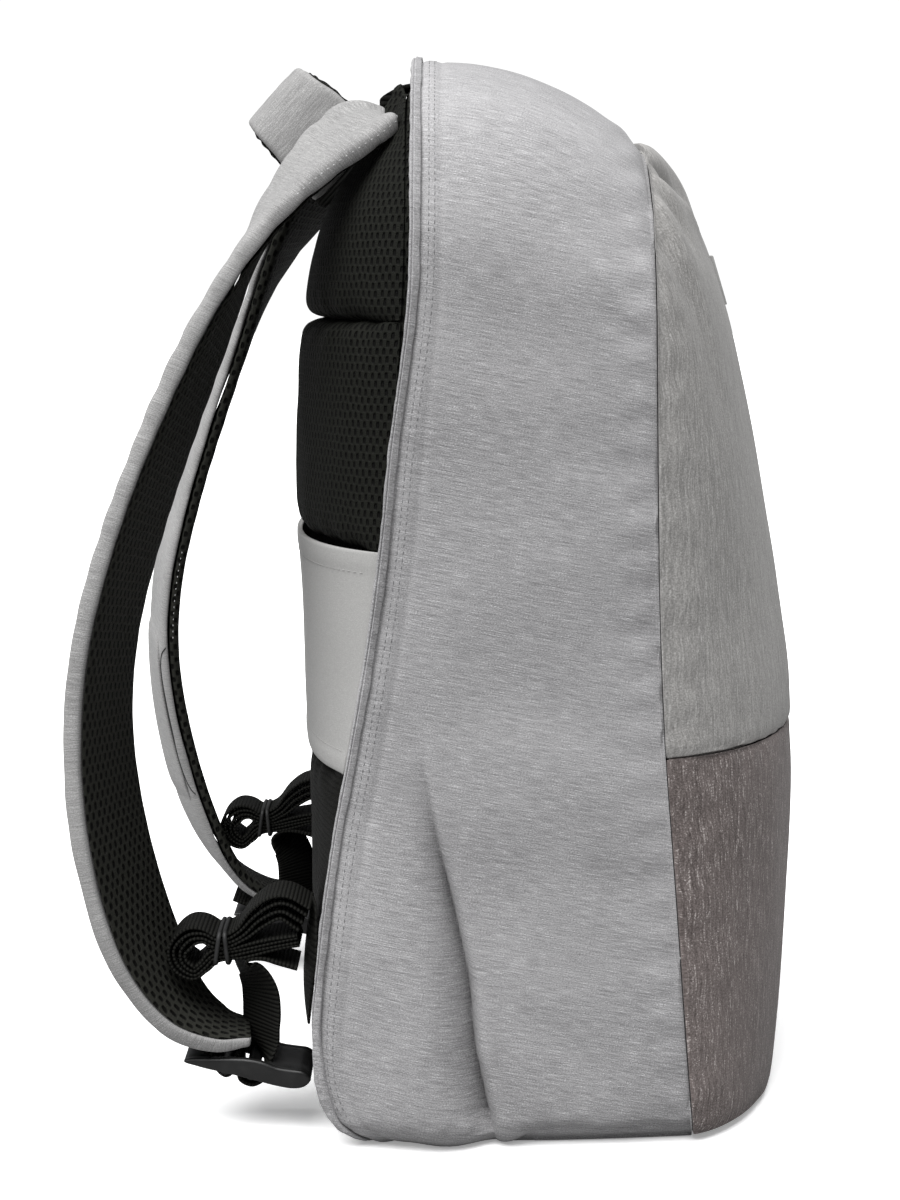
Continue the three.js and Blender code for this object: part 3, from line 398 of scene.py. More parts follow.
# %% Mesh helpers
FLOOR_GAP = 0.0004  # cloth stays this far above the floor


def activate(obj):
    deselect()
    obj.select_set(True)
    bpy.context.view_layer.objects.active = obj


def in_edit_mode(obj, *actions):
    activate(obj)
    bpy.ops.object.mode_set(mode="EDIT")
    for action in actions:
        action()
    bpy.ops.object.mode_set(mode="OBJECT")


def choose_all():
    bpy.ops.mesh.select_all(action="SELECT")


def choose_none(kind):
    bpy.ops.mesh.select_mode(type=kind)
    bpy.ops.mesh.select_all(action="DESELECT")


def face_outward():
    bpy.ops.mesh.normals_make_consistent(inside=False)


def read_rows(data, what):
    """Three numbers for each vertex, normal or face."""
    found = np.empty(len(data) * 3, np.float32)
    data.foreach_get(what, found)
    return found.reshape(-1, 3).astype(float)


def places(obj):
    return read_rows(obj.data.vertices, "co")


def directions(obj):
    return read_rows(obj.data.vertex_normals, "vector")


def put(obj, points):
    obj.data.vertices.foreach_set("co", np.ascontiguousarray(points, np.float32).ravel())
    obj.data.update()


def put_above_floor(obj, points):
    points[:, 2] = np.maximum(points[:, 2], FLOOR_GAP)
    put(obj, points)


def push_out(obj, move):
    """Moves every point along its normal, each by its own distance."""
    put(obj, places(obj) + directions(obj) * move[:, None])


def write_uv(obj, pairs):
    """Writes a UV map from two lengths in metres for each vertex."""
    corner = np.empty(len(obj.data.loops), np.int32)
    obj.data.loops.foreach_get("vertex_index", corner)
    layers = obj.data.uv_layers
    layer = layers[0] if layers else layers.new(name="cloth")
    layer.uv.foreach_set("vector", pairs[corner].astype(np.float32).ravel())


def copy_of_solid(node, name):
    """A merged copy of a CAD node, with its triangles joined to four-sided faces."""
    obj = bpy.data.objects.new(name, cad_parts[node].data.copy())
    obj.data.name = name
    obj.data.materials.clear()
    bpy.context.scene.collection.objects.link(obj)
    in_edit_mode(
        obj,
        choose_all,
        lambda: bpy.ops.mesh.remove_doubles(threshold=1e-5),
        lambda: bpy.ops.mesh.tris_convert_to_quads(face_threshold=deg(60), shape_threshold=deg(60)),
    )
    return obj


def hold_sharp_edges(obj, above, weight):
    in_edit_mode(
        obj,
        lambda: choose_none("EDGE"),
        lambda: bpy.ops.mesh.edges_select_sharp(sharpness=deg(above)),
        lambda: bpy.ops.transform.edge_crease(value=weight),
    )


def cut_finer(obj, kind, chosen, cuts):
    """Cuts the chosen edges or faces; chosen says yes or no for each."""
    in_edit_mode(obj, lambda: choose_none(kind))
    (obj.data.edges if kind == "EDGE" else obj.data.polygons).foreach_set("select", chosen)
    in_edit_mode(obj, lambda: bpy.ops.mesh.subdivide(number_cuts=cuts))


def subdivide(obj, levels, kind="CATMULL_CLARK"):
    activate(obj)
    rounds = obj.modifiers.new("rounds", "SUBSURF")
    rounds.levels = rounds.render_levels = levels
    rounds.subdivision_type = kind
    bpy.ops.object.modifier_apply(modifier=rounds.name)


def smooth_copy(node, name, above, weight, levels):
    """A copy of a CAD node, subdivided, with edges sharper than this many degrees held."""
    obj = copy_of_solid(node, name)
    hold_sharp_edges(obj, above, weight)
    subdivide(obj, levels)
    return obj


def within(values):
    return np.clip(values, 0, 1)


def units(vectors):
    return vectors / np.linalg.norm(vectors, axis=1)[:, None]


def unevenness(points, size, seed, stretch=(1, 1, 1)):
    """Smooth noise between -1 and 1, with swells of about this size."""
    scaled = points / (np.array(stretch) * size) + seed * 7.31
    return np.array([noise.noise(Vector(p)) for p in scaled])


def bell(distance, radius):
    return np.exp(-((distance / radius) ** 2))


def puckers(run, pitch, rate, sway=2.0, shift=0):
    """Waves along a seam. They are this far apart on average, and their spacing sways."""
    return np.sin(run * 2 * math.pi / pitch + sway * np.sin(run * rate + shift))


def fold(points, start, end, width, depth):
    """Depth of a groove that runs from start to end and dies out at both."""
    start, end = np.array(start), np.array(end)
    way = end - start
    share = within((points - start) @ way / (way @ way))
    away = np.linalg.norm(points - start - share[:, None] * way, axis=1)
    return depth * bell(away, width) * np.sin(math.pi * within(share * 0.9 + 0.05)) ** 0.7


def finish_piece(obj, material, nodes=(), angle=50):
    obj.data.materials.clear()
    obj.data.materials.append(material)
    activate(obj)
    bpy.ops.object.shade_smooth_by_angle(angle=deg(angle))
    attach(obj, "root")
    if nodes:
        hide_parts(*nodes)
    obj.data.calc_loop_triangles()
    print(obj.name, len(obj.data.loop_triangles), "triangles")
    return obj

# %% [markdown]
# ## Lines of the bag
# The back edge and the front seam curve in depth from the foot to the crown. Straps and
# webbing follow smooth paths through a few known places. These are the same tables as in
# the CAD source, in metres, so everything that is added here lies where the solids are.

# %% Curves
TALL, DEEP, WIDE = 0.450, 0.157, 0.300
CORNER, SPRING, FLAT_TOP = 0.086, 0.364, 0.064  # radius of the crown's corners, where they begin, half the flat top
SEAM_UP = 0.165  # height of the front's colour seam
SIDES = (("left", -1), ("right", 1))
SEAM_HEIGHTS = [0, 0.027, 0.056, 0.1, 0.17, 0.29, 0.37, 0.49, 0.6, 0.71, 0.82, 1]
BACK_EDGE = [0.56, 0.656, 0.694, 0.705, 0.688, 0.643, 0.599, 0.541, 0.503, 0.478, 0.463, 0.462]
FRONT_EDGE = [-0.298, -0.291, -0.283, -0.272, -0.256, -0.228, -0.208, -0.19, -0.182, -0.176, -0.172, -0.172]


def along(stops, values, at):
    """Values at places on a smooth curve through a table's rows."""
    stops, values = np.asarray(stops, float), np.asarray(values, float)
    at = np.clip(np.asarray(at, float), stops[0], stops[-1])
    i = np.searchsorted(stops[1:-1], at, side="left")
    before, after = np.maximum(np.arange(len(stops)) - 1, 0), np.minimum(np.arange(len(stops)) + 1, len(stops) - 1)
    slope = (values[after] - values[before]) / (stops[after] - stops[before])
    step = stops[i + 1] - stops[i]
    t = (at - stops[i]) / step
    return ((1 + 2 * t) * (1 - t) ** 2 * values[i] + t * (1 - t) ** 2 * step * slope[i]
            + t * t * (3 - 2 * t) * values[i + 1] + t * t * (t - 1) * step * slope[i + 1])


def back_edge(z):
    return DEEP * along(SEAM_HEIGHTS, BACK_EDGE, np.asarray(z) / TALL)


def front_edge(z):
    return DEEP * along(SEAM_HEIGHTS, FRONT_EDGE, np.asarray(z) / TALL)


def drawn_in(z):
    """How far the sewn back edge is pulled forward of its line; most near the crown."""
    share = np.clip((np.asarray(z) - 0.28) / 0.08, 0, 1)
    return 0.0042 * share * share * (3 - 2 * share)


def smooth_path(points, at):
    """Places on a centripetal Catmull-Rom curve through points, at shares of its run."""
    points = np.asarray(points, float)
    knots = np.vstack([2 * points[0] - points[1], points, 2 * points[-1] - points[-2]])
    spot = np.clip(np.asarray(at, float), 0, 1) * (len(points) - 1)
    k = np.clip(spot.astype(int), 0, len(points) - 2)
    t = (spot - k)[:, None]
    p0, p1, p2, p3 = (knots[k + n] for n in range(4))
    d0, d1, d2 = (np.sqrt(np.linalg.norm(b - a, axis=1))[:, None] for a, b in ((p0, p1), (p1, p2), (p2, p3)))
    m1 = ((p1 - p0) / d0 - (p2 - p0) / (d0 + d1) + (p2 - p1) / d1) * d1
    m2 = ((p2 - p1) / d1 - (p3 - p1) / (d1 + d2) + (p3 - p2) / d2) * d1
    return p1 + m1 * t + (-3 * p1 + 3 * p2 - 2 * m1 - m2) * t**2 + (2 * p1 - 2 * p2 + m1 + m2) * t**3


def path_directions(points, at):
    return units(smooth_path(points, np.minimum(at + 1e-4, 1)) - smooth_path(points, np.maximum(at - 1e-4, 0)))


def run_along(line):
    """Length from a line's start to each of its points."""
    return np.concatenate([[0], np.cumsum(np.linalg.norm(np.diff(line, axis=0), axis=1))])


def turned(vectors, axes, angles):
    """Vectors turned about unit axes, by angles in degrees."""
    c, s = np.cos(np.radians(angles))[:, None], np.sin(np.radians(angles))[:, None]
    dot = (vectors * axes).sum(1)[:, None]
    return vectors * c + np.cross(axes, vectors) * s + axes * dot * (1 - c)


print("depth at half height:", float(back_edge(0.225) - front_edge(0.225)))

# %% [markdown]
# ## The side band
# One padded strip of heather runs from the left foot over the crown to the right foot. Each
# side has a slack lobe low down that ends in a sharp crease, a raised welt along the back
# edge, and small pulls near the front seam. The strip is a subdivided copy of its solid. The
# columns beside the back edge are cut finer first, because the welt is only 4 mm wide, and
# so are the faces beside the crease. A UV map round the arch lets the slubs follow the strip.

# %% Side band
band = copy_of_solid("side_band", "side_band_cloth")
points = places(band)
ends = np.array([edge.vertices[:] for edge in band.data.edges])
behind = (back_edge(points[:, 2]) - points[:, 1])[ends]
cut_finer(band, "EDGE", ((behind < 0.001).sum(1) == 1) & ((behind > 0.006).sum(1) == 1), 2)
hold_sharp_edges(band, 55, 0.75)
subdivide(band, 3)

CREASE = [  # height and y
    (0.0, 0.0352), (0.017, 0.0393), (0.042, 0.0448), (0.071, 0.0470), (0.099, 0.0527), (0.133, 0.0605), (0.16, 0.0655),
]
VALLEYS = [(0.0080, 0.0120), (0.0046, 0.0040)]  # depth and reach of the crease's wide and narrow valley
WALL = 0.12  # the side walls lie farther out than this
WELT = [(0.0005, 0.0065, 0.003), (-0.0008, 0.0014, 0.0011), (-0.0004, 0.0115, 0.0015)]  # height, place, reach
PULLS = [  # y and z of both ends, width, depth
    ((-0.006, 0.392), (-0.025, 0.362), 0.004, 0.0022),
    ((0.004, 0.382), (-0.024, 0.350), 0.005, 0.0010),
    ((-0.004, 0.352), (-0.026, 0.326), 0.005, 0.0011),
    ((0.010, 0.300), (-0.026, 0.270), 0.008, 0.0009),
    ((0.062, 0.300), (0.030, 0.215), 0.014, 0.0012),
    ((0.080, 0.215), (0.055, 0.150), 0.010, 0.0012),
    ((0.020, 0.190), (-0.024, 0.160), 0.010, 0.0009),
    ((0.006, 0.120), (-0.030, 0.105), 0.009, 0.0011),
    ((0.082, 0.130), (0.066, 0.060), 0.009, 0.0014),
    ((0.100, 0.075), (0.080, 0.020), 0.007, 0.0012),
    ((0.030, 0.060), (-0.012, 0.028), 0.009, 0.0010),
]

middles = read_rows(band.data.polygons, "center")
beside = np.abs(middles[:, 1] - np.interp(middles[:, 2], *zip(*CREASE))) < 0.008
beside &= (middles[:, 2] < SEAM_UP) & (np.abs(middles[:, 0]) > WALL)
cut_finer(band, "FACE", beside, 1)
print("faces cut finer beside the crease:", int(beside.sum()))


def side_folds(obj):
    points, normals = places(obj), directions(obj)
    side = np.sign(points[:, 0])
    rise = within((points[:, 2] - SPRING) / CORNER)
    outward = np.column_stack([side * np.sqrt(1 - rise**2), np.zeros(len(points)), rise])
    outer = (normals * outward).sum(1) > 0.2
    flat = points * [0, 1, 1]
    move = 0.0011 * unevenness(points, 0.055, 1) + 0.0005 * unevenness(points, 0.024, 2, (1, 1, 1.6))
    for (y0, z0), (y1, z1), width, depth in PULLS:
        move -= fold(flat, (0, y0, z0), (0, y1, z1), width, depth) * (rise < 0.7)
    crease_y = np.interp(points[:, 2], *zip(*CREASE))
    fade = within((SEAM_UP - points[:, 2]) / 0.06)
    past = points[:, 1] - crease_y
    foot = np.clip((points[:, 2] - 0.003) / 0.012, 0.3, 1)
    sunk = sum(depth * np.exp(-np.maximum(past, 0) / reach) for depth, reach in VALLEYS)
    sunk *= np.exp(-np.maximum(-past, 0) / 0.0011) * fade * foot * (np.abs(points[:, 0]) > WALL)
    move += 0.0020 * bell(past - 0.020, 0.012) * fade + 0.0012 * bell(past + 0.006, 0.005) * fade
    inside = back_edge(points[:, 2]) - points[:, 1]
    run = np.where(rise > 0, np.arctan2(rise, np.sqrt(1 - rise**2)) * CORNER + SPRING, points[:, 2])
    move += sum(height * bell(inside - place, reach) for height, place, reach in WELT)
    move += 0.0002 * puckers(run, 0.0062, 90) * bell(inside - 0.005, 0.003)
    ahead = points[:, 1] - front_edge(points[:, 2])
    move -= 0.0009 * bell(ahead, 0.004)
    move += 0.0005 * np.sin(run * 2 * math.pi / 0.017) * bell(ahead - 0.008, 0.007)
    points = points + normals * (move * outer)[:, None]
    points[:, 0] -= side * sunk
    points[:, 1] -= drawn_in(points[:, 2]) * within(1 - inside / 0.03)
    hem = bell(points[:, 2], 0.010) * within((crease_y - points[:, 1]) / 0.02) * outer
    points[:, 2] += 0.0062 * hem * (0.85 + 0.15 * np.sin(points[:, 1] * 150))
    put_above_floor(obj, points)


def lay_cloth(obj):
    """Writes a UV map: the way round the arch from the crown's middle, and depth."""
    points = places(obj)
    half = np.abs(points[:, 0])
    turn = np.clip(np.arctan2(half - FLAT_TOP, points[:, 2] - SPRING), 0, math.pi / 2)
    way = np.minimum(half, FLAT_TOP) + CORNER * turn + np.maximum(SPRING - points[:, 2], 0)
    write_uv(obj, np.column_stack([np.sign(points[:, 0]) * way, points[:, 1]]))


side_folds(band)
lay_cloth(band)
finish_piece(band, grey_band, ["side_band"])

# %% [markdown]
# ## The front panels
# The front is stuffed like a shallow cushion, grey above and brown below, and the seam
# between them is pulled in. Near the crown the cloth dents on both sides and folds run out
# from each dent. The rest has soft upright waves, because the cloth hangs from the crown.

# %% Front panels
FRONT_PULLS = [  # distance from the middle and height of both ends, width, depth
    ((0.131, 0.412), (0.127, 0.372), 0.0050, 0.0040),
    ((0.100, 0.411), (0.044, 0.391), 0.0085, 0.0085),
    ((0.112, 0.404), (0.101, 0.372), 0.0060, 0.0036),
    ((0.086, 0.394), (0.060, 0.376), 0.0070, -0.0024),
    ((0.134, 0.385), (0.120, 0.340), 0.0055, 0.0022),
    ((0.052, 0.410), (0.030, 0.390), 0.0070, 0.0022),
    ((0.130, 0.360), (0.112, 0.300), 0.0080, 0.0012),
    ((0.135, 0.270), (0.118, 0.205), 0.0090, 0.0010),
]
FRONT_HALF = 0.146


def front_folds(obj, seed):
    points, normals = places(obj), directions(obj)
    outer = within(-normals[:, 1] * 2) * (normals[:, 1] < 0.1)
    across, height = np.abs(points[:, 0]), points[:, 2]
    move = 0.0012 * unevenness(points, 0.050, seed, (1, 1, 1.8))
    move += 0.0005 * unevenness(points, 0.020, seed + 1, (1, 1, 2.2))
    flat = np.column_stack([across, 0 * across, height])
    for (x0, z0), (x1, z1), width, depth in FRONT_PULLS:
        move -= fold(flat, (x0, 0, z0), (x1, 0, z1), width, depth)
    seam = np.abs(height - SEAM_UP)
    move += 0.0004 * puckers(points[:, 0], 0.015, 60) * bell(seam - 0.004, 0.006) - 0.0008 * bell(seam, 0.0022)
    move += 0.0003 * puckers(height, 0.023, 37) * bell(FRONT_HALF - across - 0.004, 0.008)
    put_above_floor(obj, points + normals * (move * outer)[:, None])


for node, name, finish, slot, seed in (
    ("front_upper", "front_upper_cloth", grey_front, "grey_cloth", 11),
    ("front_lower", "front_pocket_cloth", brown_front, "brown_cloth", 15),
):
    panel = smooth_copy(node, name, 55, 0.8, 3)
    front_folds(panel, seed)
    finish_piece(panel, finish, [node])

# %% [markdown]
# ## Base, plate and flap
# The base is a flat brown panel, the plate on the front is blank, and a black flap covers
# the two ends of the zip. Base and plate are stiff, so a bevel round their edges and a
# little subdivision are enough. The flap is cloth, and its free end hangs down.

# %% Base, plate and flap
BEVEL = 0.0006
FLAP_SEWN, FLAP_UNDER = 0.0745, 0.4424  # y where the sewn part ends, height of the underside


def softened_copy(node, name, levels):
    obj = copy_of_solid(node, name)
    activate(obj)
    edge = obj.modifiers.new("edge", "BEVEL")
    edge.width, edge.segments, edge.limit_method, edge.angle_limit = BEVEL, 3, "ANGLE", deg(35)
    bpy.ops.object.modifier_apply(modifier=edge.name)
    subdivide(obj, levels, "SIMPLE")
    return obj


finish_piece(softened_copy("base_panel", "base_cloth", 2), brown_front, ["base_panel"])
finish_piece(softened_copy("front_plate", "front_plate_blank", 1), grey_plain, ["front_plate"])
flap = smooth_copy("zip_flap", "zip_flap_cloth", 40, 0.55, 4)
points = places(flap)
hang = within((points[:, 1] - FLAP_SEWN) / 0.012)
low_side = within((FLAP_UNDER - points[:, 2]) / 0.0024)
points[:, 2] += 0.0006 * unevenness(points, 0.012, 21) - 0.0042 * hang**1.4 - 0.0030 * low_side * within(hang * 2)
put(flap, points)
finish_piece(flap, ribbed_back, ["zip_flap"])

# %% [markdown]
# ## Piping and zip
# A bead of the grey cloth closes the back edge, and the hidden zip runs inside it. The bead
# is sewn by hand-guided machine, so it wanders a little. The zip is a woven tape with a coil
# on it. One coil turn is modelled and repeated along the tape, each with few faces.

# %% Piping and zip tape
piping = smooth_copy("edge_piping", "back_edge_bead", 100, 0.5, 3)
points, normals = places(piping), directions(piping)
wave = 0.00045 * unevenness(points, 0.005, 31) + 0.0004 * unevenness(points, 0.03, 32)
proud = points[:, 1] - back_edge(points[:, 2])
wave -= 0.0012 * bell(proud - 0.0032, 0.0009)
points = points + normals * wave[:, None]
points[:, 1] -= drawn_in(points[:, 2]) + 0.5 * np.maximum(proud, 0) + 0.0018 * (proud < 0.0012)
put_above_floor(piping, points)
finish_piece(piping, grey_side, ["edge_piping"])

tape = smooth_copy("zip_band", "zip_tape", 40, 0.9, 2)
finish_piece(tape, ribbed_back, ["zip_band"])

# %% [markdown]
# ## Rows of small parts
# A coil or a row of stitches is one small turn, many times over. One turn is made from a
# coarse ball, and copies of it are laid at even distances along a line, each turned to lie
# on the cloth below it. All the copies are one mesh, which is quicker than many objects.

# %% Repeat a small part
def lozenge(length, gauge):
    """A short thread or coil turn, lying along X at the origin, with a few dozen faces."""
    deselect()
    bpy.ops.mesh.primitive_uv_sphere_add(segments=6, ring_count=5, radius=0.5)
    obj = bpy.context.object
    points = places(obj)
    put(obj, np.column_stack([points[:, 2] * length, points[:, 0] * gauge, points[:, 1] * gauge]))
    return obj


def repeat(name, unit, frames_given):
    """One mesh with a copy of unit at each frame: a place and three axes."""
    shape = places(unit)
    faces = [tuple(face.vertices) for face in unit.data.polygons]
    count = len(shape)
    points = np.concatenate([at + shape @ axes for at, axes in frames_given])
    every = [tuple(v + count * k for v in face) for k in range(len(frames_given)) for face in faces]
    mesh = bpy.data.meshes.new(name)
    mesh.from_pydata(points.tolist(), [], every)
    obj = bpy.data.objects.new(name, mesh)
    bpy.context.scene.collection.objects.link(obj)
    bpy.data.objects.remove(unit)
    return obj


def sew(name, length, gauge, frames_given, finish):
    return finish_piece(repeat(name, lozenge(length, gauge), frames_given), finish)


def surface_of(obj):
    return BVHTree.FromPolygons([v.co for v in obj.data.vertices], [p.vertices[:] for p in obj.data.polygons])


def evenly(line, pitch):
    """Places every pitch along a line, and its direction at each."""
    line = np.asarray(line, float)
    run = run_along(line)
    at = np.arange(pitch / 2, run[-1], pitch)
    found, ahead, behind = (
        np.column_stack([np.interp(at + shift, run, line[:, k]) for k in range(3)])
        for shift in (0, pitch / 4, -pitch / 4)
    )
    return zip(found, units(ahead - behind))


def frame_on(hit, normal, way, lift):
    """A place just above a surface, with axes along the row, across it and outward."""
    out = np.array(normal)
    way = way - out * (way @ out)
    way /= np.linalg.norm(way)
    return np.array(hit) + out * lift, np.array([way, np.cross(out, way), out])


def stitch_frames(line, surface, pitch, lift):
    """Frames that lie on a surface along a line."""
    frames_made = []
    for at, way in evenly(line, pitch):
        hit, normal, _, away = surface.find_nearest(Vector(at))
        if hit is not None and away <= 0.012:
            frames_made.append(frame_on(hit, normal, way, lift))
    return frames_made


def rim_line(inset, ahead, count=260):
    """A line round the sides and crown, this far inside the outline and ahead of the back edge."""
    half, top, radius, foot_radius = WIDE / 2 - inset, TALL - inset, CORNER - inset, 0.014
    spring = top - radius
    up = [(half, z) for z in np.linspace(0.012, spring, count // 3)]
    turn = [(half - radius + radius * math.cos(a), spring + radius * math.sin(a))
            for a in np.linspace(0.02, math.pi / 2, count // 6)]
    right = np.array(up + turn)
    foot = np.maximum(foot_radius - right[:, 1], 0)
    right[:, 0] -= foot_radius - np.sqrt(foot_radius**2 - foot**2)
    outline = np.vstack([right * [-1, 1], right[::-1]])
    crown = within((outline[:, 1] - spring) / radius) ** 2
    outline[:, 1] += 0.004 * crown * (1 - np.clip(outline[:, 0] / (half - radius), -1, 1) ** 2)
    return np.column_stack([outline[:, 0], back_edge(outline[:, 1]) - drawn_in(outline[:, 1]) - ahead, outline[:, 1]])


print("points in a line round the rim:", len(rim_line(0, 0)))

# %% Zip coil
COIL_PITCH = 0.0021
coil_frames = []
for at, way in evenly(rim_line(inset=0.0089, ahead=0.0012), COIL_PITCH):
    side = np.cross(way, (0, 1, 0))
    side /= np.linalg.norm(side)
    coil_frames.append((at, np.array([side, way, np.cross(side, way)])))
sew("zip_coil", 0.0058, 0.0015, coil_frames, black_thread)
print("coil turns:", len(coil_frames))

# %% Top-stitching on the side band
band_surface = surface_of(band)
# The thread is darker than the cloth: real stitches, coloured with painted shade of their dents.
for number, ahead in enumerate((0.0046, 0.0074)):
    rows = stitch_frames(rim_line(inset=-0.002, ahead=ahead), band_surface, 0.0030, 0.0)
    sew(f"band_stitches_{number}", 0.0018, 0.00042, rows, stitch_shade_thread)

# %% [markdown]
# ## The back
# The stiff board carries two mesh pads, a cloth band for a suitcase handle and a ribbed
# panel below. The pads are foam under knit cloth, sewn down round their edges. Their cloth
# is simulated: the sewn rim is pinned, air pressure swells the rest for twenty frames, and
# no point may travel farther than a few millimetres, so the pads stay clear of the straps.
# The upper pad also bulges out between the two strap ends.

# %% Board
board = smooth_copy("back_board", "back_board_cover", 55, 0.9, 2)
finish_piece(board, pad_mesh, ["back_board"])

# %% Padded pieces
PRESSURE, SWELL_FRAMES = 4.0, 20
PRESSED_IN = 0.0012  # a pad's face starts this far inside its solid


def inflate(pad, cap):
    """Swells a pad's face with cloth simulation. Its back and its sewn rim stay where they are."""
    before, normals = places(pad), directions(pad)
    low, high = before.min(0), before.max(0)
    x, z = before[:, 0], before[:, 2]
    rim = np.minimum.reduce([z - low[2], high[2] - z, x - low[0], high[0] - x])
    pinned = np.where((normals[:, 1] < 0.15) | (rim < 0.004))[0]
    group = pad.vertex_groups.new(name="sewn")
    group.add(pinned.tolist(), 1.0, "REPLACE")
    activate(pad)
    cloth = pad.modifiers.new("swell", "CLOTH")
    settings = cloth.settings
    settings.quality, settings.mass = 6, 0.25
    settings.use_pressure, settings.uniform_pressure_force = True, PRESSURE
    settings.vertex_group_mass = "sewn"
    settings.effector_weights.gravity = 0
    cloth.collision_settings.use_collision = False
    for number in range(1, SWELL_FRAMES + 1):
        bpy.context.scene.frame_set(number)
    bpy.ops.object.modifier_apply(modifier=cloth.name)
    moved = places(pad) - before
    far = np.linalg.norm(moved, axis=1)
    put(pad, before + moved * np.minimum(1, cap / np.maximum(far, 1e-9))[:, None])
    pad.vertex_groups.clear()
    bpy.context.scene.frame_set(1)
    print(pad.name, "swelled by up to", round(float(far.max()) * 1000, 2), "mm, kept to", cap * 1000)


def mesh_pad(node, name, finish, seed, cap):
    pad = smooth_copy(node, name, 100, 0.6, 2)
    push_out(pad, within(directions(pad)[:, 1]) * -PRESSED_IN)
    inflate(pad, cap)
    subdivide(pad, 1)
    points, normals = places(pad), directions(pad)
    move = 0.0006 * unevenness(points, 0.035, seed) + 0.00025 * unevenness(points, 0.012, seed + 1)
    for edge in (points[:, 2].min(), points[:, 2].max()):
        move += 0.0007 * bell(points[:, 2] - edge, 0.010) * puckers(points[:, 0], 0.019, 48, 2.2, seed)
    crown = within((points[:, 2] - 0.416) / 0.012) * within((0.047 - np.abs(points[:, 0])) / 0.010)
    push_out(pad, move * within(normals[:, 1] * 1.5) + 0.0045 * crown * within(normals[:, 1] * 4))
    finish_piece(pad, finish, [node])


mesh_pad("back_pad_upper", "upper_back_pad", pad_mesh, 41, 0.0022)
mesh_pad("back_pad_lower", "lower_back_pad", pad_mesh, 44, 0.0022)
mesh_pad("back_lower", "ribbed_back_panel", ribbed_back, 47, 0.0015)

# %% [markdown]
# ## The suitcase band
# A plain grey band crosses the back, and a suitcase handle slides behind it. It is one
# layer of cloth, pulled tight and sewn at both ends, with a hem along its top and bottom.
# A subdivided copy of the solid keeps the passage open; the hems stand a little proud.

# %% Suitcase band
BAND_LOW, BAND_HIGH, HEM_WIDE, HEM_HALF = 0.156, 0.248, 0.009, 0.130
strap_band = smooth_copy("luggage_strap", "suitcase_band", 55, 0.8, 3)
points, normals = places(strap_band), directions(strap_band)
from_edge = np.minimum(points[:, 2] - BAND_LOW, BAND_HIGH - points[:, 2])
move = 0.0006 * unevenness(points, 0.045, 51, (1.6, 1, 0.7)) + 0.0004 * bell(from_edge - 0.005, 0.004)
move -= 0.0002 * bell(from_edge - HEM_WIDE, 0.0012)
push_out(strap_band, move * within(normals[:, 1]))
finish_piece(strap_band, grey_plain, ["luggage_strap"])

band_face = surface_of(strap_band)
hem_frames = []
for height in (BAND_LOW + HEM_WIDE, BAND_HIGH - HEM_WIDE):
    for x in np.arange(-HEM_HALF, HEM_HALF, 0.0032):
        hit, normal, _, _ = band_face.ray_cast(Vector((x, 0.2, height)), Vector((0, -1, 0)))
        if hit is not None:
            hem_frames.append(frame_on(hit, normal, np.array([1.0, 0, 0]), 0.00005))
sew("suitcase_band_stitches", 0.0022, 0.0004, hem_frames, grey_plain)

# %% [markdown]
# ## Sweeping a strap
# Straps, webbing and the moulded rails all keep one cross-section along a path. A grid
# with one column for each point of the section and one row for each station is added, its
# points are moved to the sections, the two edges are merged, and the ends are filled. The
# grid brings a UV map, which is set to real lengths, so that patterns follow the strap.

# %% Sweep
ACROSS_BAG = np.array([[1.0, 0, 0]])


def sweep(name, sections, zero_column=0):
    """A closed tube through sections, an array of stations, points round each, and x, y, z."""
    rows, columns = sections.shape[:2]
    deselect()
    bpy.ops.mesh.primitive_grid_add(x_subdivisions=columns, y_subdivisions=rows - 1, size=1)
    obj = bpy.context.object
    obj.name = obj.data.name = name
    flat = places(obj)
    column = np.rint((flat[:, 0] + 0.5) * columns).astype(int)
    row = np.rint((flat[:, 1] + 0.5) * (rows - 1)).astype(int)
    loop = np.concatenate([sections, sections[:, :1]], axis=1)
    put(obj, loop[row, column])
    round_it = np.cumsum(np.linalg.norm(np.diff(loop, axis=1), axis=2), axis=1)
    round_it = np.concatenate([np.zeros((rows, 1)), round_it], axis=1)
    round_it -= round_it[:, zero_column][:, None]
    write_uv(obj, np.column_stack([round_it[row, column], run_along(sections.mean(axis=1))[row]]))
    in_edit_mode(
        obj,
        choose_all,
        lambda: bpy.ops.mesh.remove_doubles(threshold=1e-6),
        lambda: choose_none("EDGE"),
        lambda: bpy.ops.mesh.select_non_manifold(),
        lambda: bpy.ops.mesh.fill_holes(sides=0),
        choose_all,
        face_outward,
    )
    return obj


def sections_along(middle, across, normal, half_width, half_thick, outline):
    """Sections from an outline of pairs, each -1 to 1 across and through."""
    outline = np.asarray(outline, float)
    half_width, half_thick = (np.broadcast_to(half, len(middle))[:, None, None] for half in (half_width, half_thick))
    wide = outline[None, :, :1] * half_width * across[:, None, :]
    thick = outline[None, :, 1:] * half_thick * normal[:, None, :]
    return middle[:, None, :] + wide + thick


def flat_outline(edge, steps):
    """Outline of a flat band with round edges. edge is the share of the width that is round."""
    turn = np.linspace(-90, 90, 2 * steps + 1)
    right = [(1 - edge + edge * math.cos(deg(a)), math.sin(deg(a))) for a in turn]
    middle = [(1 - edge) * k for k in (0.75, 0.4, 0, -0.4, -0.75)]
    left = [(-x, -y) for x, y in right]
    return [*right, *((x, 1) for x in middle), *left, *((-x, -1) for x in middle)]


WEB_OUTLINE = flat_outline(0.04, 2)
print("points in a webbing section:", len(WEB_OUTLINE))

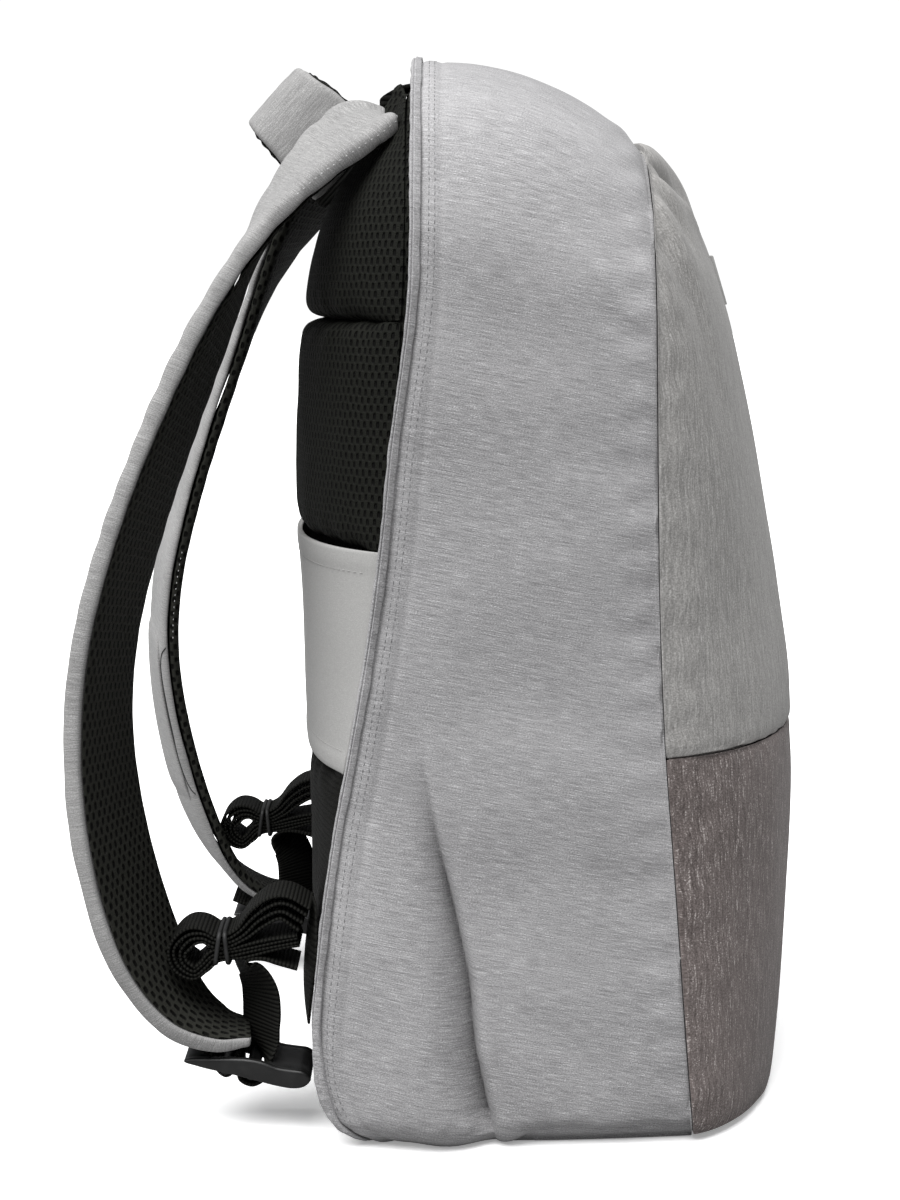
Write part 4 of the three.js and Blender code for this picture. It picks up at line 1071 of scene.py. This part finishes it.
# %% [markdown]
# ## The shoulder straps
# Each strap is a long pad. Grey cloth covers its outer face and outer edge, and mesh lines the
# inner face. The two are sewn together along both edges, which puckers the cloth every few
# centimetres. The path comes from the CAD tables. Where a strap lies on the back, the
# solids were lifted clear of the pads, and that lift is measured from the frame itself.

# %% Strap path
STRAP_ROWS = np.array([  # across, out, up, wide, thick, lean
    (0.5, -0.62, 0.936, 0.78, 0.5, -26), (0.5, -0.5, 0.944, 0.84, 0.85, -24), (0.515, -0.25, 0.92, 0.93, 1, -20),
    (0.535, -0.04, 0.88, 1, 1, -13), (0.56, 0.16, 0.825, 1, 1, -4), (0.6, 0.37, 0.745, 1, 1, 5),
    (0.645, 0.56, 0.66, 1, 1, 9), (0.69, 0.74, 0.567, 1, 1, 11), (0.73, 0.88, 0.467, 0.98, 1, 12),
    (0.76, 0.92, 0.378, 0.96, 1, 13), (0.785, 0.865, 0.278, 0.93, 1, 16), (0.79, 0.715, 0.178, 0.86, 0.95, 18),
    (0.785, 0.525, 0.117, 0.72, 0.9, 13), (0.775, 0.33, 0.092, 0.56, 0.8, 5), (0.765, 0.18, 0.088, 0.44, 0.45, 0),
])
STRAP_WIDE, STRAP_THICK, STRAP_REACH = 0.066, 0.010, 0.084
BACK_PLANE = float(back_edge(0.315)) + 0.051 * 0.98
STATIONS = 27
strap_middles = np.column_stack(
    [STRAP_ROWS[:, 0] * WIDE / 2, BACK_PLANE + STRAP_ROWS[:, 1] * STRAP_REACH, STRAP_ROWS[:, 2] * TALL])


def strap_frames(at):
    """Middle, across, outward, half width and thickness of the right strap at shares of its run."""
    stops = np.linspace(0, 1, len(STRAP_ROWS))
    way = path_directions(strap_middles, at)
    across = units(np.array([1.0, 0, 0]) - way * way[:, :1])
    across = turned(across, way, -along(stops, STRAP_ROWS[:, 5], at))
    return (smooth_path(strap_middles, at), across, np.cross(across, way),
            STRAP_WIDE / 2 * along(stops, STRAP_ROWS[:, 3], at), STRAP_THICK * along(stops, STRAP_ROWS[:, 4], at))


def measured_lift():
    """How far the solids were moved back at each station, from the right strap's inner face."""
    solid = places(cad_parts["strap_mesh_right"])
    at = np.linspace(0, 1, STATIONS)
    middle, across, out, half, thick = strap_frames(at)
    lifts = []
    for k in range(STATIONS):
        found = []
        for a, d in ((-1, -0.24), (-0.9, -0.5), (0.86, -0.5)):
            expected = middle[k] + across[k] * a * half[k] + out[k] * d * thick[k]
            away = np.hypot(solid[:, 0] - expected[0], solid[:, 2] - expected[2])
            best = np.argmin(away + 0.01 * np.abs(solid[:, 1] - expected[1]))
            if away[best] < 1e-4:
                found.append(solid[best, 1] - expected[1])
        lifts.append(np.median(found) if found else np.nan)
    return at, np.array(lifts)


def lifted(middle, at):
    return middle + np.column_stack([0 * at, np.interp(at, lift_at, lifts), 0 * at])


lift_at, lifts = measured_lift()
print("strap lifted by (mm):", np.round(lifts * 1000, 1).tolist())

# %% Strap covers and linings
COVER_OUTLINE = [
    (-0.965, 0.13), (-0.985, 0.20), (-0.975, 0.32), (-0.925, 0.42), (-0.84, 0.48), (-0.65, 0.505), (-0.5, 0.51),
    (-0.35, 0.515), (-0.17, 0.518), (0, 0.52), (0.17, 0.518), (0.35, 0.515), (0.5, 0.51), (0.65, 0.505),
    (0.84, 0.48), (0.93, 0.42), (0.985, 0.30), (1.0, 0.14), (1.0, -0.04), (0.99, -0.2), (0.965, -0.31),
    (0.93, -0.33), (0.5, -0.20), (0, -0.08), (-0.5, 0.04), (-0.93, 0.15),
]
MESH_OUTLINE = [
    (-0.965, 0.06), (-0.995, 0.0), (-1.0, -0.12), (-0.99, -0.26), (-0.955, -0.38), (-0.89, -0.46), (-0.7, -0.5),
    (-0.35, -0.515), (0, -0.52), (0.35, -0.515), (0.7, -0.5), (0.83, -0.475), (0.905, -0.43), (0.93, -0.38),
    (0.5, -0.26), (0, -0.14), (-0.5, -0.02),
]
PUCKER = 0.018  # length of one pucker along the strap


def strap_sections(side, outline, pucker, count=157):
    at = np.linspace(0, 1, count)
    middle, across, out, half, thick = strap_frames(at)
    middle = lifted(middle, at)
    x, y = np.asarray(outline, float).T[:, None, :]
    run = run_along(middle)
    wave = 2 * np.abs(np.sin(run * math.pi / PUCKER + 0.8 * np.sin(run * 31) + side)) ** 0.5 - 1.4
    wave = (wave * np.clip((0.62 - at) / 0.16, 0.2, 1))[:, None]
    edge = within((np.abs(x) - 0.5) / 0.5)
    wide = x * (1 + pucker * 0.020 * wave * edge)
    deep = y * (1 + pucker * 0.12 * wave * (0.3 + 0.7 * edge))
    gather = (1 - within(at / 0.13)) ** 1.5
    wide = wide * (1 - 0.12 * gather[:, None] * within(x))
    folds = within(1 - at / 0.30)[:, None] ** 0.7 * within(y * 4)
    deep = deep * (0.4 + 0.6 * within(at / 0.03) ** 0.5)[:, None]
    deep = deep + pucker * 0.46 * (np.abs(np.sin(x * 4.2 + 0.9 + 3 * at[:, None])) ** 0.7 - 0.75) * folds
    made = (middle[:, None, :] + (wide * half[:, None])[:, :, None] * across[:, None, :]
            + (deep * thick[:, None])[:, :, None] * out[:, None, :])
    share = within((0.20 - at) / 0.14)[:, None]
    swing = share * share * (3 - 2 * share) * x
    made[:, :, 1] -= np.where(swing > 0, 0.0108, 0.0070) * swing
    made[:, :, 2] += np.where(swing > 0, 0.0080, 0.004) * swing
    made[:, :, 0] *= side
    return made


strap_lines = {}
for label, side in SIDES:
    cover_sections = strap_sections(side, COVER_OUTLINE, 1.0)
    cover = sweep(f"strap_cover_cloth_{label}", cover_sections, zero_column=9)
    subdivide(cover, 1)
    push_out(cover, 0.0004 * unevenness(places(cover), 0.022, 61 + side))
    finish_piece(cover, grey_strap, [f"strap_cover_{label}"], angle=80)
    lining_sections = strap_sections(side, MESH_OUTLINE, 0.6)
    lining = sweep(f"strap_lining_mesh_{label}", lining_sections, zero_column=8)
    subdivide(lining, 1)
    finish_piece(lining, strap_mesh, [f"strap_mesh_{label}"], angle=80)
    strap_lines[label] = (cover, cover_sections, lining, lining_sections)

# %% [markdown]
# The stitches that join cover and mesh show as pale dots beside the seam, along parts of
# each strap's edges. Lines are taken along the sections, and a stitch is laid on them every
# few millimetres.

# %% Strap stitches
for label, (cover, cover_sections, lining, lining_sections) in strap_lines.items():
    cover_face, lining_face = surface_of(cover), surface_of(lining)
    rows = stitch_frames(cover_sections[6:36, 17], cover_face, 0.0032, -0.0001)
    for first, last, column in ((72, 84, 14), (92, 97, 14), (84, 98, 2)):
        rows += stitch_frames(lining_sections[first:last, column], lining_face, 0.0032, -0.0001)
    sew(f"strap_stitches_{label}", 0.0011, 0.00045, rows, pale_thread)

# %% [markdown]
# ## Card pocket
# The right strap has a flat card pocket on its outer face. It is one layer of the grey
# cloth, so it is swept along the same path, just above the strap's cover, and its ends sink
# into the cover. A seam of black stitches runs beside it, a near-continuous dark line that is
# partly dark thread and partly painted shade in the seam's groove.

# %% Card pocket
POCKET_HALF, POCKET_THICK = 0.0235, 0.0014
at = np.linspace(16 / 26, 20 / 26, 33)
middle, across, out, half, thick = strap_frames(at)
middle = lifted(middle, at)
share = np.linspace(0, 1, len(at))
from_end = np.minimum(share, 1 - share)
sunk = 0.0016 * (1 - within(from_end / 0.10))
taper = within(from_end / 0.16) ** 0.5 * 0.3 + 0.7
pocket_middle = middle + out * (thick / 2 + 0.0006 - sunk)[:, None]
pocket_sections = sections_along(
    pocket_middle, across, out, POCKET_HALF * taper, POCKET_THICK / 2, flat_outline(0.03, 2))
pocket = sweep("card_pocket_cloth", pocket_sections, zero_column=7)
subdivide(pocket, 1)
finish_piece(pocket, grey_strap, ["strap_pocket"])
# A near-continuous row of black stitches along the pocket's edge: a real seam, its darkness partly painted shade in
# the seam's groove.
reach = within(np.minimum(share - 0.10, 0.94 - share) / 0.12) ** 0.6
seam_shade_line = middle - across * (half * (1.0 - 0.19 * reach))[:, None] + out * (thick * (0.30 + 0.20 * reach))[:, None]
seam_shade_rows = stitch_frames(seam_shade_line[3:-2], surface_of(strap_lines["right"][0]), 0.0012, 0.0001)
sew("card_pocket_seam_and_shade", 0.0020, 0.0007, seam_shade_rows, black_thread)

# %% [markdown]
# ## The grab handle
# The handle is a padded band of grey cloth that narrows towards the top, with a black backing
# that wraps a little over both edges. Both are swept along the same arch; the backing is
# slightly wider, so that it shows as a black rim.

# %% Handle
HANDLE_ROWS = [(-1, 0), (-1, 0.4), (-0.92, 0.78), (-0.68, 0.97), (0, 1), (0.68, 0.97), (0.92, 0.78), (1, 0.4), (1, 0)]
HANDLE_SPAN, HANDLE_RISE, HANDLE_LEAN, HANDLE_UP = 0.084, 0.045, 43, 0.407
SOLID_WIDE, CLOTH_WIDE, RIM = 0.038, 0.0430, 0.0016
HANDLE_OUTLINE = flat_outline(0.12, 3)
rise = np.array([0, math.cos(deg(HANDLE_LEAN)), math.sin(deg(HANDLE_LEAN))])
level = np.array([0, -math.sin(deg(HANDLE_LEAN)), math.cos(deg(HANDLE_LEAN))])
root_y = places(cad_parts["grab_handle"])[:, 1].min() - SOLID_WIDE / 2 * level[1]
HANDLE_ROOT = np.array([0, root_y, HANDLE_UP])


def handle_band(name, inset, thickness, width, count=61):
    rows = np.array([
        (x * (HANDLE_SPAN / 2 - inset * (1 if abs(x) > 0.9 else 0.7)), up * (HANDLE_RISE - inset))
        for x, up in HANDLE_ROWS
    ])
    line = HANDLE_ROOT + rows[:, :1] * [1, 0, 0] + rows[:, 1:] * rise
    at = np.linspace(0, 1, count)
    normal = units(np.cross(path_directions(line, at), level[None, :]))
    half = width / 2 * (1 - 0.22 * np.sin(math.pi * at))
    sections = sections_along(smooth_path(line, at), level[None, :], normal, half, thickness / 2, HANDLE_OUTLINE)
    obj = sweep(name, sections, zero_column=9)
    subdivide(obj, 1)
    return obj


handle = handle_band("handle_cover_cloth", -0.0006, 0.0050, CLOTH_WIDE)
points = places(handle)
push_out(handle, 0.0006 * unevenness(points, 0.014, 71) + 0.0003 * unevenness(points, 0.006, 72))
finish_piece(handle, grey_strap, ["grab_handle"])
backing = handle_band("handle_backing_webbing", 0.0034, 0.0026, CLOTH_WIDE + 2 * RIM)
frayed = np.abs(directions(backing) @ level)
push_out(backing, 0.0009 * unevenness(places(backing), 0.0045, 75) * frayed)
finish_piece(backing, webbing_black, ["grab_handle_lining"])

# %% [markdown]
# ## Webbing
# On each side, ribbed webbing leaves the lower corner of the back, runs down round the
# adjuster's middle bar, and its long end is folded up and tied with a rubber band. Every
# length is swept along a path measured from the adjuster's middle bar. The folded end is
# four thin layers that fan out at its ends. Beside it, a ribbed wing is sewn to the corner.

# %% Webbing
WEB_WIDE, WEB_THICK, FOLDED_THICK = 0.025, 0.0017, 0.0012
FOLD_SHIFTS = (-2.3, -0.8, 0.8, 2.3)  # mm from the fold's middle to each layer
TAB_ROWS = [(29, 12.8), (19, 8.4), (15.2, 5), (14.6, 0.8), (11, -1.9), (7.4, 0.8), (6.9, 5), (5, 8.6)]  # back and up
STRAND_ROWS = [  # back and up in mm, and turn in degrees
    (-19.6, 44.6, 0), (-12, 46.8, 0), (-4, 49, 0), (2.5, 48.2, 4), (4, 44.4, 22), (0.5, 40, 36), (-2.6, 33, 42),
    (-3.4, 25, 43), (-3.2, 17, 41), (-3.6, 9.5, 36), (-4.8, 2, 10), (-5.0, -3.4, 0), (0, -6.0, 0), (5.0, -3.6, 0),
    (5.6, 1.5, 0),
]
ROLL_ROWS = [
    (-23, 66), (-13, 71), (-3, 66.5), (4, 59.8), (9, 56.8), (15, 56.6), (20, 58.6), (26, 58.0), (31, 52.5),
    (29.5, 46), (24, 42.5), (20.2, 45.4), (15.8, 49.6), (9, 50.9), (4, 52), (-8, 54.5), (-20, 57),
]
lock_low, lock_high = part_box("adjuster_right")
LOCK = np.array([(lock_low.x + lock_high.x) / 2, (lock_low.y + lock_high.y) / 2, 0.026])


def webbing(name, rows, side, count, thick=WEB_THICK, shift=0):
    """Webbing along rows measured from the adjuster, moved off its path by a shift that fans out."""
    yz = np.array([row[:2] for row in rows], float) / 1000
    line = LOCK + np.column_stack([0 * yz[:, 0], yz])
    at = np.linspace(0, 1, count)
    way = path_directions(line, at)
    turns = [row[2] if len(row) > 2 else 0 for row in rows]
    across = turned(ACROSS_BAG, way, along(np.linspace(0, 1, len(rows)), turns, at))
    normal = units(np.cross(way, across))
    spread = 1 + 1.3 * bell(at - 0.02, 0.14) + 0.7 * bell(at - 0.48, 0.10) + 0.15 * np.sin(at * 40 + shift)
    middle = smooth_path(line, at) + normal * (shift / 1000 * spread)[:, None]
    sections = sections_along(middle, across, normal, WEB_WIDE / 2, thick / 2, WEB_OUTLINE)
    sections[:, :, 0] *= side
    return sweep(name, sections, zero_column=7)


def join_pieces(name, pieces_given):
    deselect()
    for obj in pieces_given:
        obj.select_set(True)
    bpy.context.view_layer.objects.active = pieces_given[0]
    bpy.ops.object.join()
    joined = bpy.context.object
    joined.name = joined.data.name = name
    return joined


for label, side in SIDES:
    strand = webbing(f"webbing_strand_{label}", STRAND_ROWS, side, 90)
    finish_piece(strand, webbing_black, [f"webbing_{label}"])
    tab = webbing(f"strap_end_webbing_{label}", TAB_ROWS, side, 50)
    finish_piece(tab, webbing_black, [f"adjuster_tab_{label}"])
    layers = [webbing("layer", ROLL_ROWS, side, 110, FOLDED_THICK, shift) for shift in FOLD_SHIFTS]
    roll = join_pieces(f"webbing_fold_{label}", layers)
    finish_piece(roll, webbing_black, [f"webbing_roll_{label}"])
    wing = smooth_copy(f"webbing_wing_{label}", f"corner_wing_{label}", 60, 0.6, 2)
    finish_piece(wing, ribbed_back, [f"webbing_wing_{label}"])

# %% [markdown]
# ## Rubber ties
# The folded webbing is held by a rubber band wound round it twice. Each turn starts as a
# torus whose points are pushed out to a rounded rectangle that fits the bundle.

# %% Ties
TORUS_THICK = 0.1  # of the torus before its points are moved, with a radius of 1
TIE_GAUGE = 0.0008
TIE_TURNS = [(10.2, 53.6, 0.10, 0.0137, 0.0072), (14.0, 53.4, -0.14, 0.0138, 0.0073)]


def tie_turn(side, back, up, tilt, half_wide, half_high):
    deselect()
    bpy.ops.mesh.primitive_torus_add(major_segments=48, minor_segments=10, major_radius=1, minor_radius=TORUS_THICK)
    obj = bpy.context.object
    points = places(obj)
    angle = np.arctan2(points[:, 1], points[:, 0])
    c, s = np.cos(angle), np.sin(angle)
    corner = (np.abs(c) ** 6 + np.abs(s) ** 6) ** (-1 / 6)
    grow = (np.hypot(points[:, 0], points[:, 1]) - 1) / TORUS_THICK * TIE_GAUGE
    x = c * corner * half_wide + c * grow
    z = s * corner * half_high + s * grow
    y = points[:, 2] / TORUS_THICK * TIE_GAUGE * 1.2 + back / 1000 + tilt * z
    put(obj, np.column_stack([(x + LOCK[0]) * side, y + LOCK[1], z + LOCK[2] + up / 1000]))
    in_edit_mode(obj, choose_all, face_outward)
    return obj


for label, side in SIDES:
    turns = [tie_turn(side, *row) for row in TIE_TURNS]
    finish_piece(join_pieces(f"rubber_tie_{label}", turns), rubber, [f"webbing_tie_{label}"])

# %% [markdown]
# ## The adjusters
# A ladder adjuster is one moulding: two side rails with an S-shaped outline, a plate at each
# end and two round bars. Rails and plates are swept along the length with rounded
# sections, and the bars are plain cylinders that run into the rails.

# %% Adjusters
LOCK_ROWS = [  # share of the length, height of the underside and of the top in mm
    (0, 5.2, 6.6), (0.07, 4.0, 7.0), (0.16, 2.4, 7.0), (0.42, -1.2, 6.9), (0.58, -3.4, 5.6), (0.72, -5.2, 3.0),
    (0.84, -6.2, 2.0), (0.94, -5.6, 1.2), (1, -3.2, -0.8),
]
LOCK_LONG, LOCK_HALF, RAIL = 0.050, 0.013, 0.004


def rounded_box_outline(power=5, count=28):
    turn = np.linspace(0, 2 * math.pi, count, endpoint=False)
    c, s = np.cos(turn), np.sin(turn)
    reach = (np.abs(c) ** power + np.abs(s) ** power) ** (-1 / power)
    return np.column_stack([c * reach, s * reach])


def moulded_bar(side, first, last, inner, outer, count):
    """A stretch of the adjuster's length between two shares, from one x to another."""
    at = np.linspace(first, last, count)
    stops, low, high = zip(*LOCK_ROWS)
    low, high = along(stops, low, at) / 1000, along(stops, high, at) / 1000
    ends = np.sin(within(np.minimum(at - first, last - at) * LOCK_LONG / 0.0012) * math.pi / 2) * 0.35 + 0.65
    back = LOCK[1] + (0.5 - at) * LOCK_LONG + 0.0032 * within(1 - at / 0.3)
    middle = np.column_stack([np.full(count, LOCK[0] + (inner + outer) / 2), back, LOCK[2] + (low + high) / 2])
    half_x = abs(outer - inner) / 2 * (0.6 + 0.4 * ends)
    upward = np.array([[0.0, 0, 1]])
    sections = sections_along(middle, ACROSS_BAG, upward, half_x, (high - low) / 2 * ends, rounded_box_outline())
    sections[:, :, 0] *= side
    return sweep("adjuster_part", sections)


def round_bar(side, back, up, radius):
    deselect()
    bpy.ops.mesh.primitive_cylinder_add(
        vertices=24, radius=radius, depth=2 * LOCK_HALF + RAIL, rotation=(0, deg(90), 0),
        location=(LOCK[0] * side, LOCK[1] + back / 1000, LOCK[2] + up / 1000))
    bpy.ops.object.transform_apply(location=True, rotation=True, scale=True)
    return bpy.context.object


for label, side in SIDES:
    outer = LOCK_HALF + RAIL
    parts = [
        moulded_bar(side, 0, 1, LOCK_HALF, outer, 48),
        moulded_bar(side, 0, 1, -outer, -LOCK_HALF, 48),
        moulded_bar(side, 0, 0.18, -outer + 0.0005, outer - 0.0005, 14),
        moulded_bar(side, 0.625, 1, -outer + 0.0005, outer - 0.0005, 18),
        round_bar(side, 0, 0, 0.0029),
        round_bar(side, 11, 2, 0.0025),
    ]
    adjuster = join_pieces(f"ladder_adjuster_{label}", parts)
    finish_piece(adjuster, nylon, [f"adjuster_{label}"], angle=45)

# %% [markdown]
# ## Check the size
# Both boxes are compared, so that anyone can see how little the cloth changes the size
# of the solids. The last line prints how far the dressed bag reaches past the frame's box.

# %% Size and finish
low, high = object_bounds()
grown = [[round((end[k] - start[k]) * 1000, 1) for k in range(3)]
         for start, end in ((low, cad_box[0]), (cad_box[1], high))]
print("grown by (mm):", *grown)
